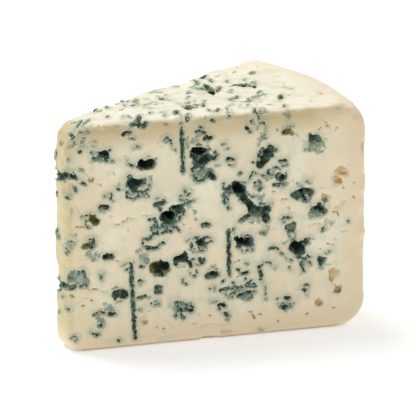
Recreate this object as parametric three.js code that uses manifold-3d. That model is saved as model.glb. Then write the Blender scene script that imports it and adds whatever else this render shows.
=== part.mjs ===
// A wedge of blue cheese, cut at full height from a low wheel that has no hard rind.
// Millimetres, +Z up. The wedge stands on the flat base of the wheel, with its origin under the
// middle of its box. It is one piece of cheese, so it is one closed solid: the slice of the wheel,
// less the crevices between the curds, the tracks of the piercing needles and the torn edges.
import * as THREE from "three";
import { mergeVertices } from "three/addons/utils/BufferGeometryUtils.js";
import Module from "manifold-3d";

const wasm = await Module();
wasm.setup();

// Driving dimensions: the wheel and where the knife went
const wheelRadius = 100;
const wheelHeight = 98;
const wedgeAngle = THREE.MathUtils.degToRad(32);
const cutLength = 148;          // along a cut face, from the line where the two cuts meet to the rind
const tipTrim = 20;             // the length of that face that went with the brittle tip

// Driving dimensions: how round each edge is
const topShoulder = 12;         // rind to top
const baseShoulder = 12.5;      // rind to base
const tipTopRound = 11.5;
const tipBaseRound = 6;
const cutEdgeRound = 1.6;       // a cut face to the top or the base
const rindCornerRound = 2.6;    // a cut face to the rind
const tipCornerRound = 2.4;     // a cut face to the blunt tip

// Driving dimensions: the needles that let air in, and where they met the cut face
const trackDiameter = 2.3;
const trackDepth = 1.3;         // how far a track's floor is behind the cut face

// How finely the round shapes are faceted
const wheelFacets = 150;
const edgeFacets = 7;
const trackFacets = 14;
const outside = 6;              // how far a cutting shape runs past what it cuts

// Worked out from the values above. The line where the cuts meet is at X = Y = 0, and the front
// cut lies along +X. Angles are measured from it, so the middle of the wedge is at halfAngle.
const halfAngle = wedgeAngle / 2;
const middle = new THREE.Vector3(Math.cos(halfAngle), Math.sin(halfAngle), 0);
const halfChord = cutLength * Math.sin(halfAngle);
const centreDistance = cutLength * Math.cos(halfAngle) - Math.sqrt(wheelRadius ** 2 - halfChord ** 2);
const wheelCentre = middle.clone().multiplyScalar(centreDistance);
const tipDistance = tipTrim * Math.cos(halfAngle);
const up = new THREE.Vector3(0, 0, 1);

// The faces that crevices open on. along and across span the face, and normal points out of the
// cheese. reach gives the face's extent across at a distance along it.
const faces = {
  front: {
    origin: new THREE.Vector3(),
    along: new THREE.Vector3(1, 0, 0),
    across: up,
    reach: () => wheelHeight,
  },
  back: {
    origin: new THREE.Vector3(),
    along: new THREE.Vector3(Math.cos(wedgeAngle), Math.sin(wedgeAngle), 0),
    across: new THREE.Vector3(0, 0, -1),
    reach: () => -wheelHeight,
  },
  top: {
    origin: new THREE.Vector3(0, 0, wheelHeight),
    along: new THREE.Vector3(1, 0, 0),
    across: new THREE.Vector3(0, 1, 0),
    reach: (distance) => distance * Math.tan(wedgeAngle),
  },
};

// Crevices as [along, across, width, height, depth, turn]. along is a share of the cut face from
// the blunt tip to the rind, and across is a share of the face's extent there. width, height and
// depth are millimetres, and turn is degrees anticlockwise as seen from outside.
const crevices = {
  front: [
    [0.125, 0.870, 4.4, 3.0, 2.6, -30],
    [0.262, 0.810, 6.6, 3.8, 4.0, 0],
    [0.218, 0.730, 8.0, 6.5, 3.0, -20],
    [0.140, 0.640, 4.4, 2.2, 2.0, 10],
    [0.088, 0.585, 4.4, 3.8, 3.4, -35],
    [0.440, 0.822, 8.2, 8.2, 6.5, 10],
    [0.446, 0.742, 8.0, 4.6, 3.2, 8],
    [0.332, 0.568, 9.6, 6.8, 6.0, -12],
    [0.392, 0.588, 6.0, 5.0, 2.4, 40],
    [0.062, 0.476, 5.0, 3.2, 3.0, 15],
    [0.136, 0.416, 4.0, 2.0, 2.4, 0],
    [0.172, 0.248, 7.4, 3.6, 4.0, 0],
    [0.305, 0.342, 8.4, 6.4, 4.5, -15],
    [0.377, 0.380, 5.6, 3.2, 3.4, -20],
    [0.442, 0.438, 7.6, 7.0, 3.0, 0],
    [0.470, 0.292, 4.8, 3.0, 2.4, 10],
    [0.376, 0.155, 7.4, 6.0, 2.2, 0],
    [0.562, 0.683, 8.6, 4.6, 6.0, -8],
    [0.596, 0.628, 6.6, 4.0, 3.8, -62],
    [0.625, 0.572, 5.4, 4.4, 3.4, -50],
    [0.657, 0.550, 6.4, 4.6, 4.4, 20],
    [0.656, 0.806, 9.0, 4.6, 4.2, 58],
    [0.709, 0.703, 3.8, 3.0, 3.6, 0],
    [0.590, 0.426, 6.6, 3.6, 5.0, 0],
    [0.764, 0.380, 6.8, 5.0, 6.5, 15],
    [0.782, 0.633, 7.4, 2.8, 3.4, -12],
    [0.836, 0.543, 5.0, 2.4, 3.0, -10],
    [0.828, 0.860, 4.4, 2.2, 2.6, 0],
    [0.915, 0.704, 4.2, 2.8, 1.8, 0],
    [0.888, 0.240, 2.8, 5.4, 1.8, -15],
    [0.844, 0.118, 3.0, 2.2, 1.6, -10],
    [0.560, 0.221, 10.0, 2.6, 2.4, 5],
    [0.794, 0.195, 3.2, 3.8, 2.0, 20],
    [0.285, 0.188, 4.2, 2.2, 2.0, 0],
  ],
  back: [
    [0.150, 0.820, 6.0, 4.0, 3.6, 20],
    [0.210, 0.560, 8.4, 5.6, 4.8, -15],
    [0.120, 0.330, 5.0, 4.0, 3.0, 40],
    [0.300, 0.210, 7.0, 4.4, 3.6, 5],
    [0.360, 0.700, 9.0, 7.0, 5.5, -30],
    [0.330, 0.420, 5.4, 3.2, 2.8, 10],
    [0.470, 0.540, 7.6, 5.4, 4.2, 60],
    [0.500, 0.840, 6.4, 3.6, 3.4, -5],
    [0.450, 0.300, 8.0, 3.8, 3.4, 25],
    [0.590, 0.400, 6.2, 6.0, 4.6, 0],
    [0.620, 0.660, 9.4, 4.8, 5.0, -40],
    [0.580, 0.170, 5.6, 3.0, 2.4, -10],
    [0.720, 0.520, 6.8, 4.4, 3.8, 15],
    [0.750, 0.790, 5.0, 3.4, 2.6, 0],
    [0.760, 0.300, 7.2, 4.2, 3.6, -25],
    [0.860, 0.600, 4.2, 2.6, 2.0, 30],
  ],
  top: [
    [0.060, 0.330, 7.0, 3.0, 2.6, 55],
    [0.190, 0.640, 5.0, 4.0, 2.4, 20],
    [0.428, 0.270, 5.6, 8.6, 4.6, -18],
    [0.300, 0.350, 6.0, 3.4, 2.2, 30],
    [0.540, 0.665, 8.6, 7.6, 4.2, 25],
    [0.562, 0.540, 4.6, 8.6, 4.4, -20],
    [0.675, 0.530, 8.4, 4.6, 3.4, 10],
    [0.745, 0.235, 4.8, 5.4, 2.4, 15],
    [0.378, 0.140, 3.4, 6.4, 2.4, -15],
    [0.600, 0.330, 5.6, 4.4, 2.2, 0],
  ],
};

// Piercing tracks as [along, lower end, upper end], all shares of the cut face
const needleTracks = {
  front: [
    [0.215, 0.040, 0.380],
    [0.380, 0.760, 0.950],
    [0.536, 0.288, 0.482],
  ],
  back: [
    [0.260, 0.500, 0.860],
    [0.540, 0.080, 0.340],
    [0.690, 0.620, 0.900],
  ],
};

// Curds that broke away at an edge, as [along, across, width, height, depth, turn] like a crevice
const tornEdges = {
  front: [
    [0.484, 0.000, 17.0, 7.0, 2.2, 4],
    [0.018, 0.295, 5.5, 4.6, 4.2, 10],
    [0.030, 0.792, 8.0, 2.6, 4.0, -12],
    [0.040, 0.985, 9.0, 5.0, 5.5, -20],
  ],
  back: [
    [0.150, 1.000, 6.0, 5.0, 4.6, 0],
    [0.330, 0.995, 7.0, 4.6, 4.0, 10],
    [0.655, 1.000, 11.0, 7.0, 5.4, -8],
  ],
  top: [],
};

function asSolid(geometry) {
  const plain = geometry.clone();
  plain.deleteAttribute("normal");
  plain.deleteAttribute("uv");
  const merged = mergeVertices(plain);
  return new wasm.Manifold(new wasm.Mesh({
    numProp: 3,
    vertProperties: new Float32Array(merged.attributes.position.array),
    triVerts: new Uint32Array(merged.index.array),
  }));
}

function asGeometry(solid) {
  const mesh = solid.getMesh();
  const geometry = new THREE.BufferGeometry();
  geometry.setAttribute("position", new THREE.BufferAttribute(mesh.vertProperties, 3));
  geometry.setIndex(new THREE.BufferAttribute(mesh.triVerts, 1));
  geometry.computeVertexNormals();
  return geometry;
}

// The whole wheel, turned from its section: flat top and base, round shoulders, upright side
function wheel() {
  const section = new THREE.Path();
  const right = Math.PI / 2;
  section.moveTo(0, 0);
  section.lineTo(wheelRadius - baseShoulder, 0);
  section.absarc(wheelRadius - baseShoulder, baseShoulder, baseShoulder, -right, 0, false);
  section.lineTo(wheelRadius, wheelHeight - topShoulder);
  section.absarc(wheelRadius - topShoulder, wheelHeight - topShoulder, topShoulder, 0, right, false);
  section.lineTo(0, wheelHeight);
  const geometry = new THREE.LatheGeometry(section.getPoints(edgeFacets), wheelFacets);
  geometry.rotateX(right);
  geometry.translate(wheelCentre.x, wheelCentre.y, 0);
  return geometry;
}

// The outline of the wedge from above. A round in a corner on the front cut is given by its centre
// and its start and end angles, and the back cut has the same corners mirrored in the middle line.
function wedgeOutline() {
  const past = wheelRadius + outside;
  const rindRoundX = wheelCentre.x
    + Math.sqrt((wheelRadius - rindCornerRound) ** 2 - (rindCornerRound - wheelCentre.y) ** 2);
  const rindRound = new THREE.Vector2(rindRoundX, rindCornerRound);
  const rindAngle = Math.atan2(rindRound.y - wheelCentre.y, rindRound.x - wheelCentre.x);
  const tipRoundX = tipTrim + tipCornerRound / Math.tan((Math.PI / 2 + halfAngle) / 2);
  const tipRound = new THREE.Vector2(tipRoundX, tipCornerRound);
  const tipAngle = Math.PI + halfAngle;
  const down = -Math.PI / 2;
  const mirrored = (point) => {
    const angle = wedgeAngle - point.angle();
    return new THREE.Vector2(Math.cos(angle), Math.sin(angle)).multiplyScalar(point.length());
  };
  const rindBack = mirrored(rindRound);
  const tipBack = mirrored(tipRound);
  const outline = new THREE.Shape();
  outline.absarc(tipRound.x, tipRound.y, tipCornerRound, tipAngle, 2 * Math.PI + down, false);
  outline.absarc(rindRound.x, rindRound.y, rindCornerRound, down, rindAngle, false);
  outline.absarc(wheelCentre.x, wheelCentre.y, past, rindAngle, wedgeAngle - rindAngle, false);
  outline.absarc(rindBack.x, rindBack.y, rindCornerRound, wedgeAngle - rindAngle, wedgeAngle - down, false);
  outline.absarc(tipBack.x, tipBack.y, tipCornerRound, wedgeAngle - down, tipAngle, false);
  outline.closePath();
  return outline;
}

// The block that the two cuts and the trimmed tip leave, with its upper and lower edges rounded
function wedgeBlock() {
  const geometry = new THREE.ExtrudeGeometry(wedgeOutline(), {
    depth: wheelHeight - 2 * cutEdgeRound,
    bevelThickness: cutEdgeRound,
    bevelSize: cutEdgeRound,
    bevelOffset: -cutEdgeRound,
    bevelSegments: 4,
    curveSegments: edgeFacets,
  });
  geometry.translate(0, 0, cutEdgeRound);
  return geometry;
}

// The wedge's side view, which rounds the blunt tip over at the top and the base
function tipProfile() {
  const far = centreDistance + wheelRadius + outside;
  const right = Math.PI / 2;
  const profile = new THREE.Shape();
  profile.moveTo(far, 0);
  profile.lineTo(far, wheelHeight);
  profile.absarc(tipDistance + tipTopRound, wheelHeight - tipTopRound, tipTopRound, right, 2 * right, false);
  profile.absarc(tipDistance + tipBaseRound, tipBaseRound, tipBaseRound, 2 * right, 3 * right, false);
  profile.closePath();
  const geometry = new THREE.ExtrudeGeometry(profile, {
    depth: 2 * far,
    bevelEnabled: false,
    curveSegments: edgeFacets,
  });
  geometry.translate(0, 0, -far);
  const across = new THREE.Vector3().crossVectors(middle, up);
  geometry.applyMatrix4(new THREE.Matrix4().makeBasis(middle, up, across));
  return geometry;
}

// A place on a face as a matrix: local X runs along the face, local Z points out of the cheese
function placeOn(face, alongShare, acrossShare) {
  const distance = tipTrim + alongShare * (cutLength - tipTrim);
  const place = face.origin.clone();
  place.addScaledVector(face.along, distance);
  place.addScaledVector(face.across, acrossShare * face.reach(distance));
  const normal = new THREE.Vector3().crossVectors(face.along, face.across);
  return new THREE.Matrix4().makeBasis(face.along, face.across, normal).setPosition(place);
}

// One gap between curds: a lump with an uneven surface, a different one for each seed
function gap([along, across, width, height, depth, turn], face, seed) {
  const lump = new THREE.IcosahedronGeometry(1, 1);
  const point = new THREE.Vector3();
  const corners = lump.attributes.position;
  for (let i = 0; i < corners.count; i += 1) {
    point.fromBufferAttribute(corners, i);
    const uneven = 1 + 0.16 * Math.sin(3 * point.x + seed) * Math.cos(2.6 * point.y - 1.7 * seed);
    point.multiplyScalar(uneven);
    corners.setXYZ(i, point.x, point.y, point.z);
  }
  lump.scale(width / 2, height / 2, depth);
  lump.rotateZ(THREE.MathUtils.degToRad(turn));
  lump.applyMatrix4(placeOn(face, along, across));
  return lump;
}

// A needle's track, laid open lengthwise by the cut
function needleTrack([along, lower, upper], face) {
  const length = (upper - lower) * wheelHeight;
  const track = new THREE.CylinderGeometry(trackDiameter / 2, trackDiameter / 2, length, trackFacets);
  track.translate(0, 0, trackDiameter / 2 - trackDepth);
  track.applyMatrix4(placeOn(face, along, (lower + upper) / 2));
  return track;
}

function cheeseWedge() {
  let cheese = asSolid(wheel()).intersect(asSolid(wedgeBlock())).intersect(asSolid(tipProfile()));
  for (const [name, face] of Object.entries(faces)) {
    const gaps = [...crevices[name], ...tornEdges[name]];
    gaps.forEach((size, index) => {
      cheese = cheese.subtract(asSolid(gap(size, face, index)));
    });
    for (const track of needleTracks[name] ?? []) {
      cheese = cheese.subtract(asSolid(needleTrack(track, face)));
    }
  }
  const material = new THREE.MeshStandardMaterial({ color: 0xd6cba8, roughness: 0.5, metalness: 0 });
  const mesh = new THREE.Mesh(asGeometry(cheese), material);
  mesh.name = "cheese_wedge";
  return mesh;
}

// The origin is under the middle of the wedge's box, on the surface that it stands on
const wedge = cheeseWedge();
wedge.geometry.computeBoundingBox();
const box = wedge.geometry.boundingBox;
wedge.position.set(-(box.min.x + box.max.x) / 2, -(box.min.y + box.max.y) / 2, -box.min.z);

const cheese = new THREE.Group();
cheese.add(wedge);

export default cheese;
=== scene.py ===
# %% [markdown]
# # A wedge of blue cheese
# A blue cheese is a wheel of loosely packed curds. Needles let air into it, and blue-green mould
# grows wherever the air reaches: in the gaps between the curds and along the needles' tracks. A
# wedge is cut from the wheel with a wire, so two of its faces are flat cuts that lay the mould open,
# and the others are the wheel's own top, base and side.
#
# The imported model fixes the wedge's place and size. It is loaded first, its box is kept, and the
# detailed cheese is modelled to the same size in the same place.

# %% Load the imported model
import math
import random

import bmesh
import bpy
import numpy as np
from mathutils import Matrix, Vector
from mathutils.bvhtree import BVHTree


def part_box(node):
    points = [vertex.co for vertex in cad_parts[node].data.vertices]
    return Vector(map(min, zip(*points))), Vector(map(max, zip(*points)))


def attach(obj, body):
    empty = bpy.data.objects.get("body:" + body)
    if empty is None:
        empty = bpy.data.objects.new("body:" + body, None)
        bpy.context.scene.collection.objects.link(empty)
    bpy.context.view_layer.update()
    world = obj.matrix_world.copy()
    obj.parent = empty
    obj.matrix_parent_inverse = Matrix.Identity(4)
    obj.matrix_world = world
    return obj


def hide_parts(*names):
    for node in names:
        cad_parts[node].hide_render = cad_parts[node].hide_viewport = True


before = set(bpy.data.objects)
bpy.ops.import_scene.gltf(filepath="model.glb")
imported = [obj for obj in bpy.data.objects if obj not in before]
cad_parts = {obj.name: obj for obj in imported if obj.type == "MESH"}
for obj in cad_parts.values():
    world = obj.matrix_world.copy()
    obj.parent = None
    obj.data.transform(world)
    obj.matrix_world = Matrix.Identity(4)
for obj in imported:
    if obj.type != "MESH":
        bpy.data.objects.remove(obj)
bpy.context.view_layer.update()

low, high = (Vector(corner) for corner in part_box("cheese_wedge"))
print("frame box, metres:", [round(v, 4) for v in low], [round(v, 4) for v in high])

# %% [markdown]
# The wedge's plan is easiest to think of from the line where its two cuts would meet. The front cut
# runs from that line along +X, the back cut leaves it at the wedge's angle, and the brittle tip
# between them was trimmed off square to the middle line. The wheel's centre is on the middle line.
# Everything below is placed in this frame of the knife's, in millimetres, and `placed` turns such a
# place into the scene's metres.

# %% The knife's frame
MM = 0.001
wheel_radius = 100.0
wedge_angle = math.radians(32)
cut_length = 148.0
tip_trim = 20.0
wheel_height = (high.z - low.z) / MM

half_angle = wedge_angle / 2
middle = Vector((math.cos(half_angle), math.sin(half_angle), 0))
half_chord = cut_length * math.sin(half_angle)
centre_distance = cut_length * math.cos(half_angle) - math.sqrt(wheel_radius**2 - half_chord**2)
wheel_centre = middle * centre_distance
knife_origin = Vector((high.x / MM - wheel_centre.x - wheel_radius, low.y / MM, low.z / MM))

OUT_FRONT = Vector((0, -1, 0))
OUT_BACK = Vector((-math.sin(wedge_angle), math.cos(wedge_angle), 0))
OUT_TIP = -middle
OUT_TOP = Vector((0, 0, 1))


def placed(point):
    """A place in the knife's frame as a place in the scene"""
    return (knife_origin + Vector(point)) * MM


print("wheel's centre is", round(centre_distance, 2), "mm from where the cuts meet")
print("blunt tip starts at", [round(v, 4) for v in placed((tip_trim, 0, 0))])

# %% [markdown]
# Marks on a face are easier to set down in that face's own two directions, as on a drawing: along it
# and up or across it. These six functions give such a mark's place in the knife's frame. The rind
# side is curved, so a place on it is a turn round the wheel in degrees and a height.


# %% Places on the faces
def on_front(along, up):
    return Vector((along, 0, up))


def on_back(along, up):
    return Vector((along * math.cos(wedge_angle), along * math.sin(wedge_angle), up))


def on_tip(across, up):
    start = Vector((tip_trim, 0, up))
    return start + across * Vector((-math.sin(half_angle), math.cos(half_angle), 0))


def on_top(along, across):
    return Vector((along, across, wheel_height))


def on_base(along, across):
    return Vector((along, across, 0))


def on_rind(turn, up):
    angle = math.radians(turn)
    return wheel_centre + Vector((wheel_radius * math.cos(angle), wheel_radius * math.sin(angle), up))


print("a place on the back cut:", [round(v, 4) for v in placed(on_back(80, 50))])

# %% [markdown]
# The camera looks at the front cut from a little to the left and above, from far away through a long
# lens, so the upright edges stay nearly parallel. It is aimed just beside the middle of the cheese.

# %% Camera
view_turn = math.radians(-15.3)
view_lift = math.radians(19.28)
view_distance = 1.68
view_middle = (85, 30, 49)
aim_right = 3.5
aim_down = 2.16
long_lens = 342.9
back_to_camera = Vector((
    math.sin(view_turn) * math.cos(view_lift),
    -math.cos(view_turn) * math.cos(view_lift),
    math.sin(view_lift),
))
view_right = Vector((math.cos(view_turn), math.sin(view_turn), 0))
view_up = back_to_camera.cross(view_right)
aim = placed(view_middle) + view_right * aim_right * MM - view_up * aim_down * MM
camera_data = bpy.data.cameras.new("camera")
camera_data.lens = long_lens
camera_data.sensor_width = 36
camera = bpy.data.objects.new("camera", camera_data)
bpy.context.scene.collection.objects.link(camera)
camera.matrix_world = Matrix.Translation(aim + back_to_camera * view_distance) @ Matrix(
    (view_right, view_up, back_to_camera)).transposed().to_4x4()
bpy.context.scene.camera = camera
print("camera at", [round(v, 3) for v in camera.location])

# %% [markdown]
# # The block that the knife leaves
# Two small helpers come first. An operator acts on whatever is selected, so `only` selects one
# object, and `edit` opens it with just the edges picked that a test chooses by their place.


# %% Selecting
def only(piece):
    if bpy.context.mode != "OBJECT":
        bpy.ops.object.mode_set(mode="OBJECT")
    bpy.ops.object.select_all(action="DESELECT")
    piece.select_set(True)
    bpy.context.view_layer.objects.active = piece


def edit_edges(piece, wanted):
    only(piece)
    bpy.ops.object.mode_set(mode="EDIT")
    bpy.context.tool_settings.mesh_select_mode = (False, True, False)
    bpy.ops.mesh.select_all(action="DESELECT")
    mesh = bmesh.from_edit_mesh(piece.data)
    picked = [edge for edge in mesh.edges if wanted(edge)]
    for edge in picked:
        edge.select_set(True)
    bmesh.update_edit_mesh(piece.data)
    return len(picked)


def knife_place(vertex):
    """A vertex's place in the knife's frame"""
    return vertex.co / MM - knife_origin


# %% [markdown]
# The wheel is a cylinder, and its shoulders are round because the curds settle in a round mould. They
# are bevels on the two rims, the base's a little wider than the top's.

# %% Wheel
top_shoulder = 12.0
base_shoulder = 12.5
bpy.ops.object.select_all(action="DESELECT")
bpy.ops.mesh.primitive_cylinder_add(
    vertices=240, radius=wheel_radius * MM, depth=wheel_height * MM,
    location=placed(wheel_centre + Vector((0, 0, wheel_height / 2))))
cheese = bpy.context.object
cheese.name = "blue_cheese"
bpy.ops.object.transform_apply(location=True, rotation=True, scale=True)
for rim_height, shoulder in ((wheel_height, top_shoulder), (0, base_shoulder)):
    count = edit_edges(cheese, lambda edge: all(
        abs(knife_place(vertex).z - rim_height) < 0.01 for vertex in edge.verts))
    bpy.ops.mesh.bevel(offset=shoulder * MM, segments=9, profile=0.5, affect="EDGES")
    bpy.ops.object.mode_set(mode="OBJECT")
    print("rim edges rounded:", count)

# %% [markdown]
# Each cut is a bisect that clears what is past the knife and fills the hole with a new face: the
# front cut, the back cut, and the one that trims the tip.

# %% The cuts
cuts = (
    (Vector((0, 0, 0)), OUT_FRONT),
    (Vector((0, 0, 0)), OUT_BACK),
    (Vector((tip_trim, 0, 0)), OUT_TIP),
)
for point, outward in cuts:
    only(cheese)
    bpy.ops.object.mode_set(mode="EDIT")
    bpy.ops.mesh.select_all(action="SELECT")
    bpy.ops.mesh.bisect(
        plane_co=placed(point), plane_no=outward, use_fill=True, clear_outer=True, threshold=1e-6)
    bpy.ops.object.mode_set(mode="OBJECT")
print("faces after the cuts:", len(cheese.data.polygons))

# %% [markdown]
# Fresh cheese has no sharp edge. The blunt tip slumps and rounds over at the top, and less at the
# base, so those two edges get a bevel. Every edge of a cut is softened a little too, and there a bevel
# would have to run through the many short edges of the shoulders. It is easier to rebuild the block
# as an even skin of one-millimetre faces and smooth it: the flats stay flat, and only the edges give
# way.

# %% Rounding the tip and the cut edges
tip_top_round = 11.5
tip_base_round = 6.0
block_skin = 1.0
edge_softening = 14


def on_tip_cut(vertex):
    return abs((knife_place(vertex) - Vector((tip_trim, 0, 0))).dot(OUT_TIP)) < 0.02


def finish_with(piece, kind, **settings):
    """Add a modifier with its settings and apply it"""
    only(piece)
    modifier = piece.modifiers.new(kind.lower(), kind)
    for name, value in settings.items():
        setattr(modifier, name, value)
    bpy.ops.object.modifier_apply(modifier=modifier.name)
    return len(piece.data.polygons)


for edge_height, rounding in ((wheel_height, tip_top_round), (0, tip_base_round)):
    edit_edges(cheese, lambda edge: all(
        on_tip_cut(vertex) and abs(knife_place(vertex).z - edge_height) < 0.02
        for vertex in edge.verts))
    bpy.ops.mesh.bevel(offset=rounding * MM, segments=8, profile=0.5, affect="EDGES")
    bpy.ops.object.mode_set(mode="OBJECT")
finish_with(cheese, "REMESH", mode="VOXEL", voxel_size=block_skin * MM)
block_faces = finish_with(cheese, "SMOOTH", factor=0.5, iterations=edge_softening)
print("block faces:", block_faces, "size:", [round(v, 4) for v in cheese.dimensions])

# %% [markdown]
# # Where the mould grew
# The mould's pattern is the wheel's history: which curds left a gap, which gap a needle opened, and
# where the air went from there. It has no formula, so it is set down one by one, as a painter would
# block it in. A mark is a stroke: a width, then the places that its line runs through, in
# millimetres on one face. Marks come in eight kinds. Gaps are open and dark inside, and deep marks
# are their darkest parts. Mould is the blue-green lining that spreads from the gaps, haze is the thin
# grey bloom of young mould, and olive is mould gone brown in a damp gap. Bare is a tan pit or a
# hairline crack that no air reached, clean is a crease or a chip that kept the paste's own colour, and
# track is where a needle went in.

# %% Marks on the front cut: open gaps
front_gaps = [
    (2.0, (35, 85.4), (36.4, 85.8), (37, 84.3)),
    (1.5, (15, 77.4), (20, 77.5), (22, 77.2)),
    (1.0, (22, 77.2), (24, 76.3)),
    (0.7, (43.6, 93.2), (44.8, 93.9), (46.8, 93.6)),
    (0.9, (47.5, 96.6), (49.5, 97)),
    (1.0, (50.5, 98), (51, 96), (52.5, 95.6), (53.5, 97)),
    (3.5, (51.8, 79.6), (53.5, 79.4), (55.4, 79.4)),
    (2.6, (48, 72), (50, 71.4)),
    (2.2, (47.4, 70.6), (48.4, 69.2)),
    (4.6, (74.4, 82.4), (77.2, 82.2), (78.2, 80)),
    (4.2, (75.6, 80.6), (77, 78.8)),
    (0.8, (80, 79.6), (83, 79.5), (83.5, 81), (82.6, 82)),
    (0.7, (74.5, 91.5), (76, 92), (78, 91), (79, 89.5)),
    (0.9, (78, 88.3), (81, 88.5)),
    (1.6, (80.8, 73.8), (81, 72), (82, 71.2)),
    (1.6, (34.2, 62.6), (37, 62.3)),
    (1.4, (57.3, 61.8), (60, 62)),
    (4.2, (61.4, 56), (63.6, 55.4)),
    (3.6, (64.6, 57), (67, 58.6)),
    (2.4, (62.6, 54.2), (63.8, 53.8)),
    (1.2, (77.7, 50.8), (79, 51.3), (79.8, 50.6)),
    (1.2, (30.6, 47.2), (30.4, 45.6)),
    (0.9, (19.5, 46), (20, 43.6)),
    (1.7, (35.9, 40.7), (37.2, 40.9), (38.5, 40.8)),
    (0.9, (21, 34), (21.2, 32)),
    (3.0, (40.2, 24.1), (42, 24.4), (44, 23.8)),
    (0.8, (49.8, 21.5), (51.5, 21.7), (52.8, 22.2)),
    (1.3, (58, 24.6), (59.2, 25.2)),
    (0.7, (30.8, 16), (33, 16.6), (35.5, 16.5)),
    (1.0, (37, 15.8), (38.5, 15.3), (40, 15.6)),
    (0.9, (33, 11), (34.5, 10.8)),
    (4.4, (57, 34.4), (59.2, 34), (61, 34)),
    (2.4, (57.6, 32), (60.4, 31.6)),
    (2.4, (66.4, 36.9), (68.4, 37.4), (69.8, 36.8)),
    (1.2, (70.5, 36.2), (72, 35), (72.3, 33.7)),
    (1.3, (76.2, 35.6), (77.2, 34.8)),
    (1.1, (53.8, 43), (56.5, 42.8), (58.5, 43)),
    (2.2, (76.6, 44.2), (77.2, 42.4)),
    (1.8, (79.4, 28.4), (81.2, 29.2), (82.8, 28.8)),
    (1.0, (67.8, 14.8), (71, 14.5), (72.5, 13.6)),
    (1.0, (84.2, 15), (85.6, 15.2), (87, 14.2)),
    (0.8, (99.5, 98), (101, 97), (102.5, 97.7), (104.3, 98)),
    (0.9, (88.7, 98), (88.7, 97)),
    (0.9, (96.2, 91.7), (97.5, 90)),
    (2.9, (106.4, 81), (105.4, 79.4), (103.2, 76.4), (102.2, 75.4)),
    (2.0, (124.2, 84.3), (125.7, 84.9), (126.8, 84.3)),
    (1.1, (87.8, 78.8), (90.5, 78.5)),
    (0.9, (110.5, 75.8), (113, 76)),
    (3.0, (110.2, 69.2), (111.2, 68.8)),
    (0.9, (108, 65.9), (110, 65.5), (113, 65.8)),
    (2.4, (88.8, 66.2), (90.4, 65)),
    (3.6, (91.8, 66.4), (92.8, 64.8), (94, 63.2)),
    (2.6, (94.2, 62.4), (95.6, 60.4)),
    (2.4, (96.6, 59.4), (98.2, 57.2)),
    (3.6, (98.8, 55.8), (100.6, 54.4)),
    (2.8, (102.2, 54.6), (104.8, 55.4)),
    (2.6, (104, 53.4), (104.6, 51)),
    (1.1, (97.4, 53.6), (95.6, 52.6), (93.6, 51.4)),
    (1.5, (116, 60.6), (118, 61.4), (120.2, 62.4), (122, 62), (124.2, 61)),
    (1.1, (120, 62.5), (120.5, 60), (121.5, 58)),
    (1.9, (124.8, 53.3), (127, 53.6), (129.6, 52.2)),
    (1.1, (127.5, 55.5), (127.8, 54)),
    (3.2, (93.6, 41.8), (95.5, 42), (97.4, 41.4)),
    (0.8, (102.5, 45.3), (104, 44.8)),
    (1.5, (113.8, 46.8), (115.4, 46.8)),
    (4.6, (117, 37.6), (118.6, 37), (119, 36.2)),
    (2.0, (119.8, 38.4), (121.4, 39.6)),
    (1.0, (101.7, 30), (102.2, 27.5), (102.7, 26.3)),
    (1.0, (94, 28), (96.7, 28.2)),
    (1.0, (89.5, 19), (91.5, 20)),
    (0.7, (96, 23), (98.5, 24.5)),
    (0.9, (92.5, 18), (95, 18.8), (97, 19.5), (99.5, 19.5)),
    (1.3, (112.5, 11), (112.9, 10.7)),
    (1.0, (113, 15.3), (114.8, 15)),
    (1.8, (128, 31.4), (128.5, 29.6)),
    (2.0, (30.6, 57.8), (31.8, 56.8)),
    (1.4, (27.4, 46.4), (28.8, 46.6)),
    (1.3, (112.4, 88.2), (114.2, 88.6)),
]
front_deep = [
    (2.6, (61.8, 55.6), (64, 54.6)),
    (1.6, (35.4, 85.7), (36.6, 84.8)),
    (2.2, (53.2, 79.6), (55, 79.4)),
    (2.4, (75.4, 82.6), (77, 81.4)),
    (2.2, (92, 66), (92.8, 64.6), (94.2, 63.4)),
    (1.8, (110.4, 69.1), (111, 68.9)),
    (1.6, (118.8, 61.7), (121.4, 62)),
    (1.6, (126.6, 53.5), (128.8, 52.8)),
    (1.8, (117.6, 37.4), (118.8, 36.8)),
    (1.5, (124.8, 84.6), (126.2, 84.6)),
    (1.6, (94.4, 41.9), (96.4, 41.9)),
    (1.3, (40.8, 24.3), (43.2, 24.1)),
    (1.4, (67.4, 37.2), (68.8, 37.2)),
    (1.0, (103.6, 54.6), (104.6, 53)),
    (1.3, (49, 71.8), (49.8, 71.4)),
    (1.4, (104.6, 79.4), (105.6, 80.4)),
]
front_clean = [
    (0.6, (20.6, 76.4), (21.6, 71), (23.2, 66), (26, 60.4), (28, 55)),
    (0.6, (17.6, 77), (18.6, 72), (18.2, 66)),
    (0.7, (27.8, 78.4), (29.4, 76.6), (32.4, 75.6)),
    (0.5, (36, 57.4), (40, 55.6), (44, 54.6)),
    (0.6, (24, 22), (27, 24), (30, 23.4)),
    (0.7, (60, 12), (62.6, 10.4), (64, 8)),
    (0.9, (76.4, 6.4), (80, 7.4), (86, 6.2), (89.4, 7)),
    (0.6, (129, 92), (131.6, 90), (133, 86.6)),
    (0.6, (106.6, 62), (108.4, 60.6), (111, 60.4)),
    (1.7, (148.6, 30.2), (147.4, 30)),
]
print("front gaps:", len(front_gaps))

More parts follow.
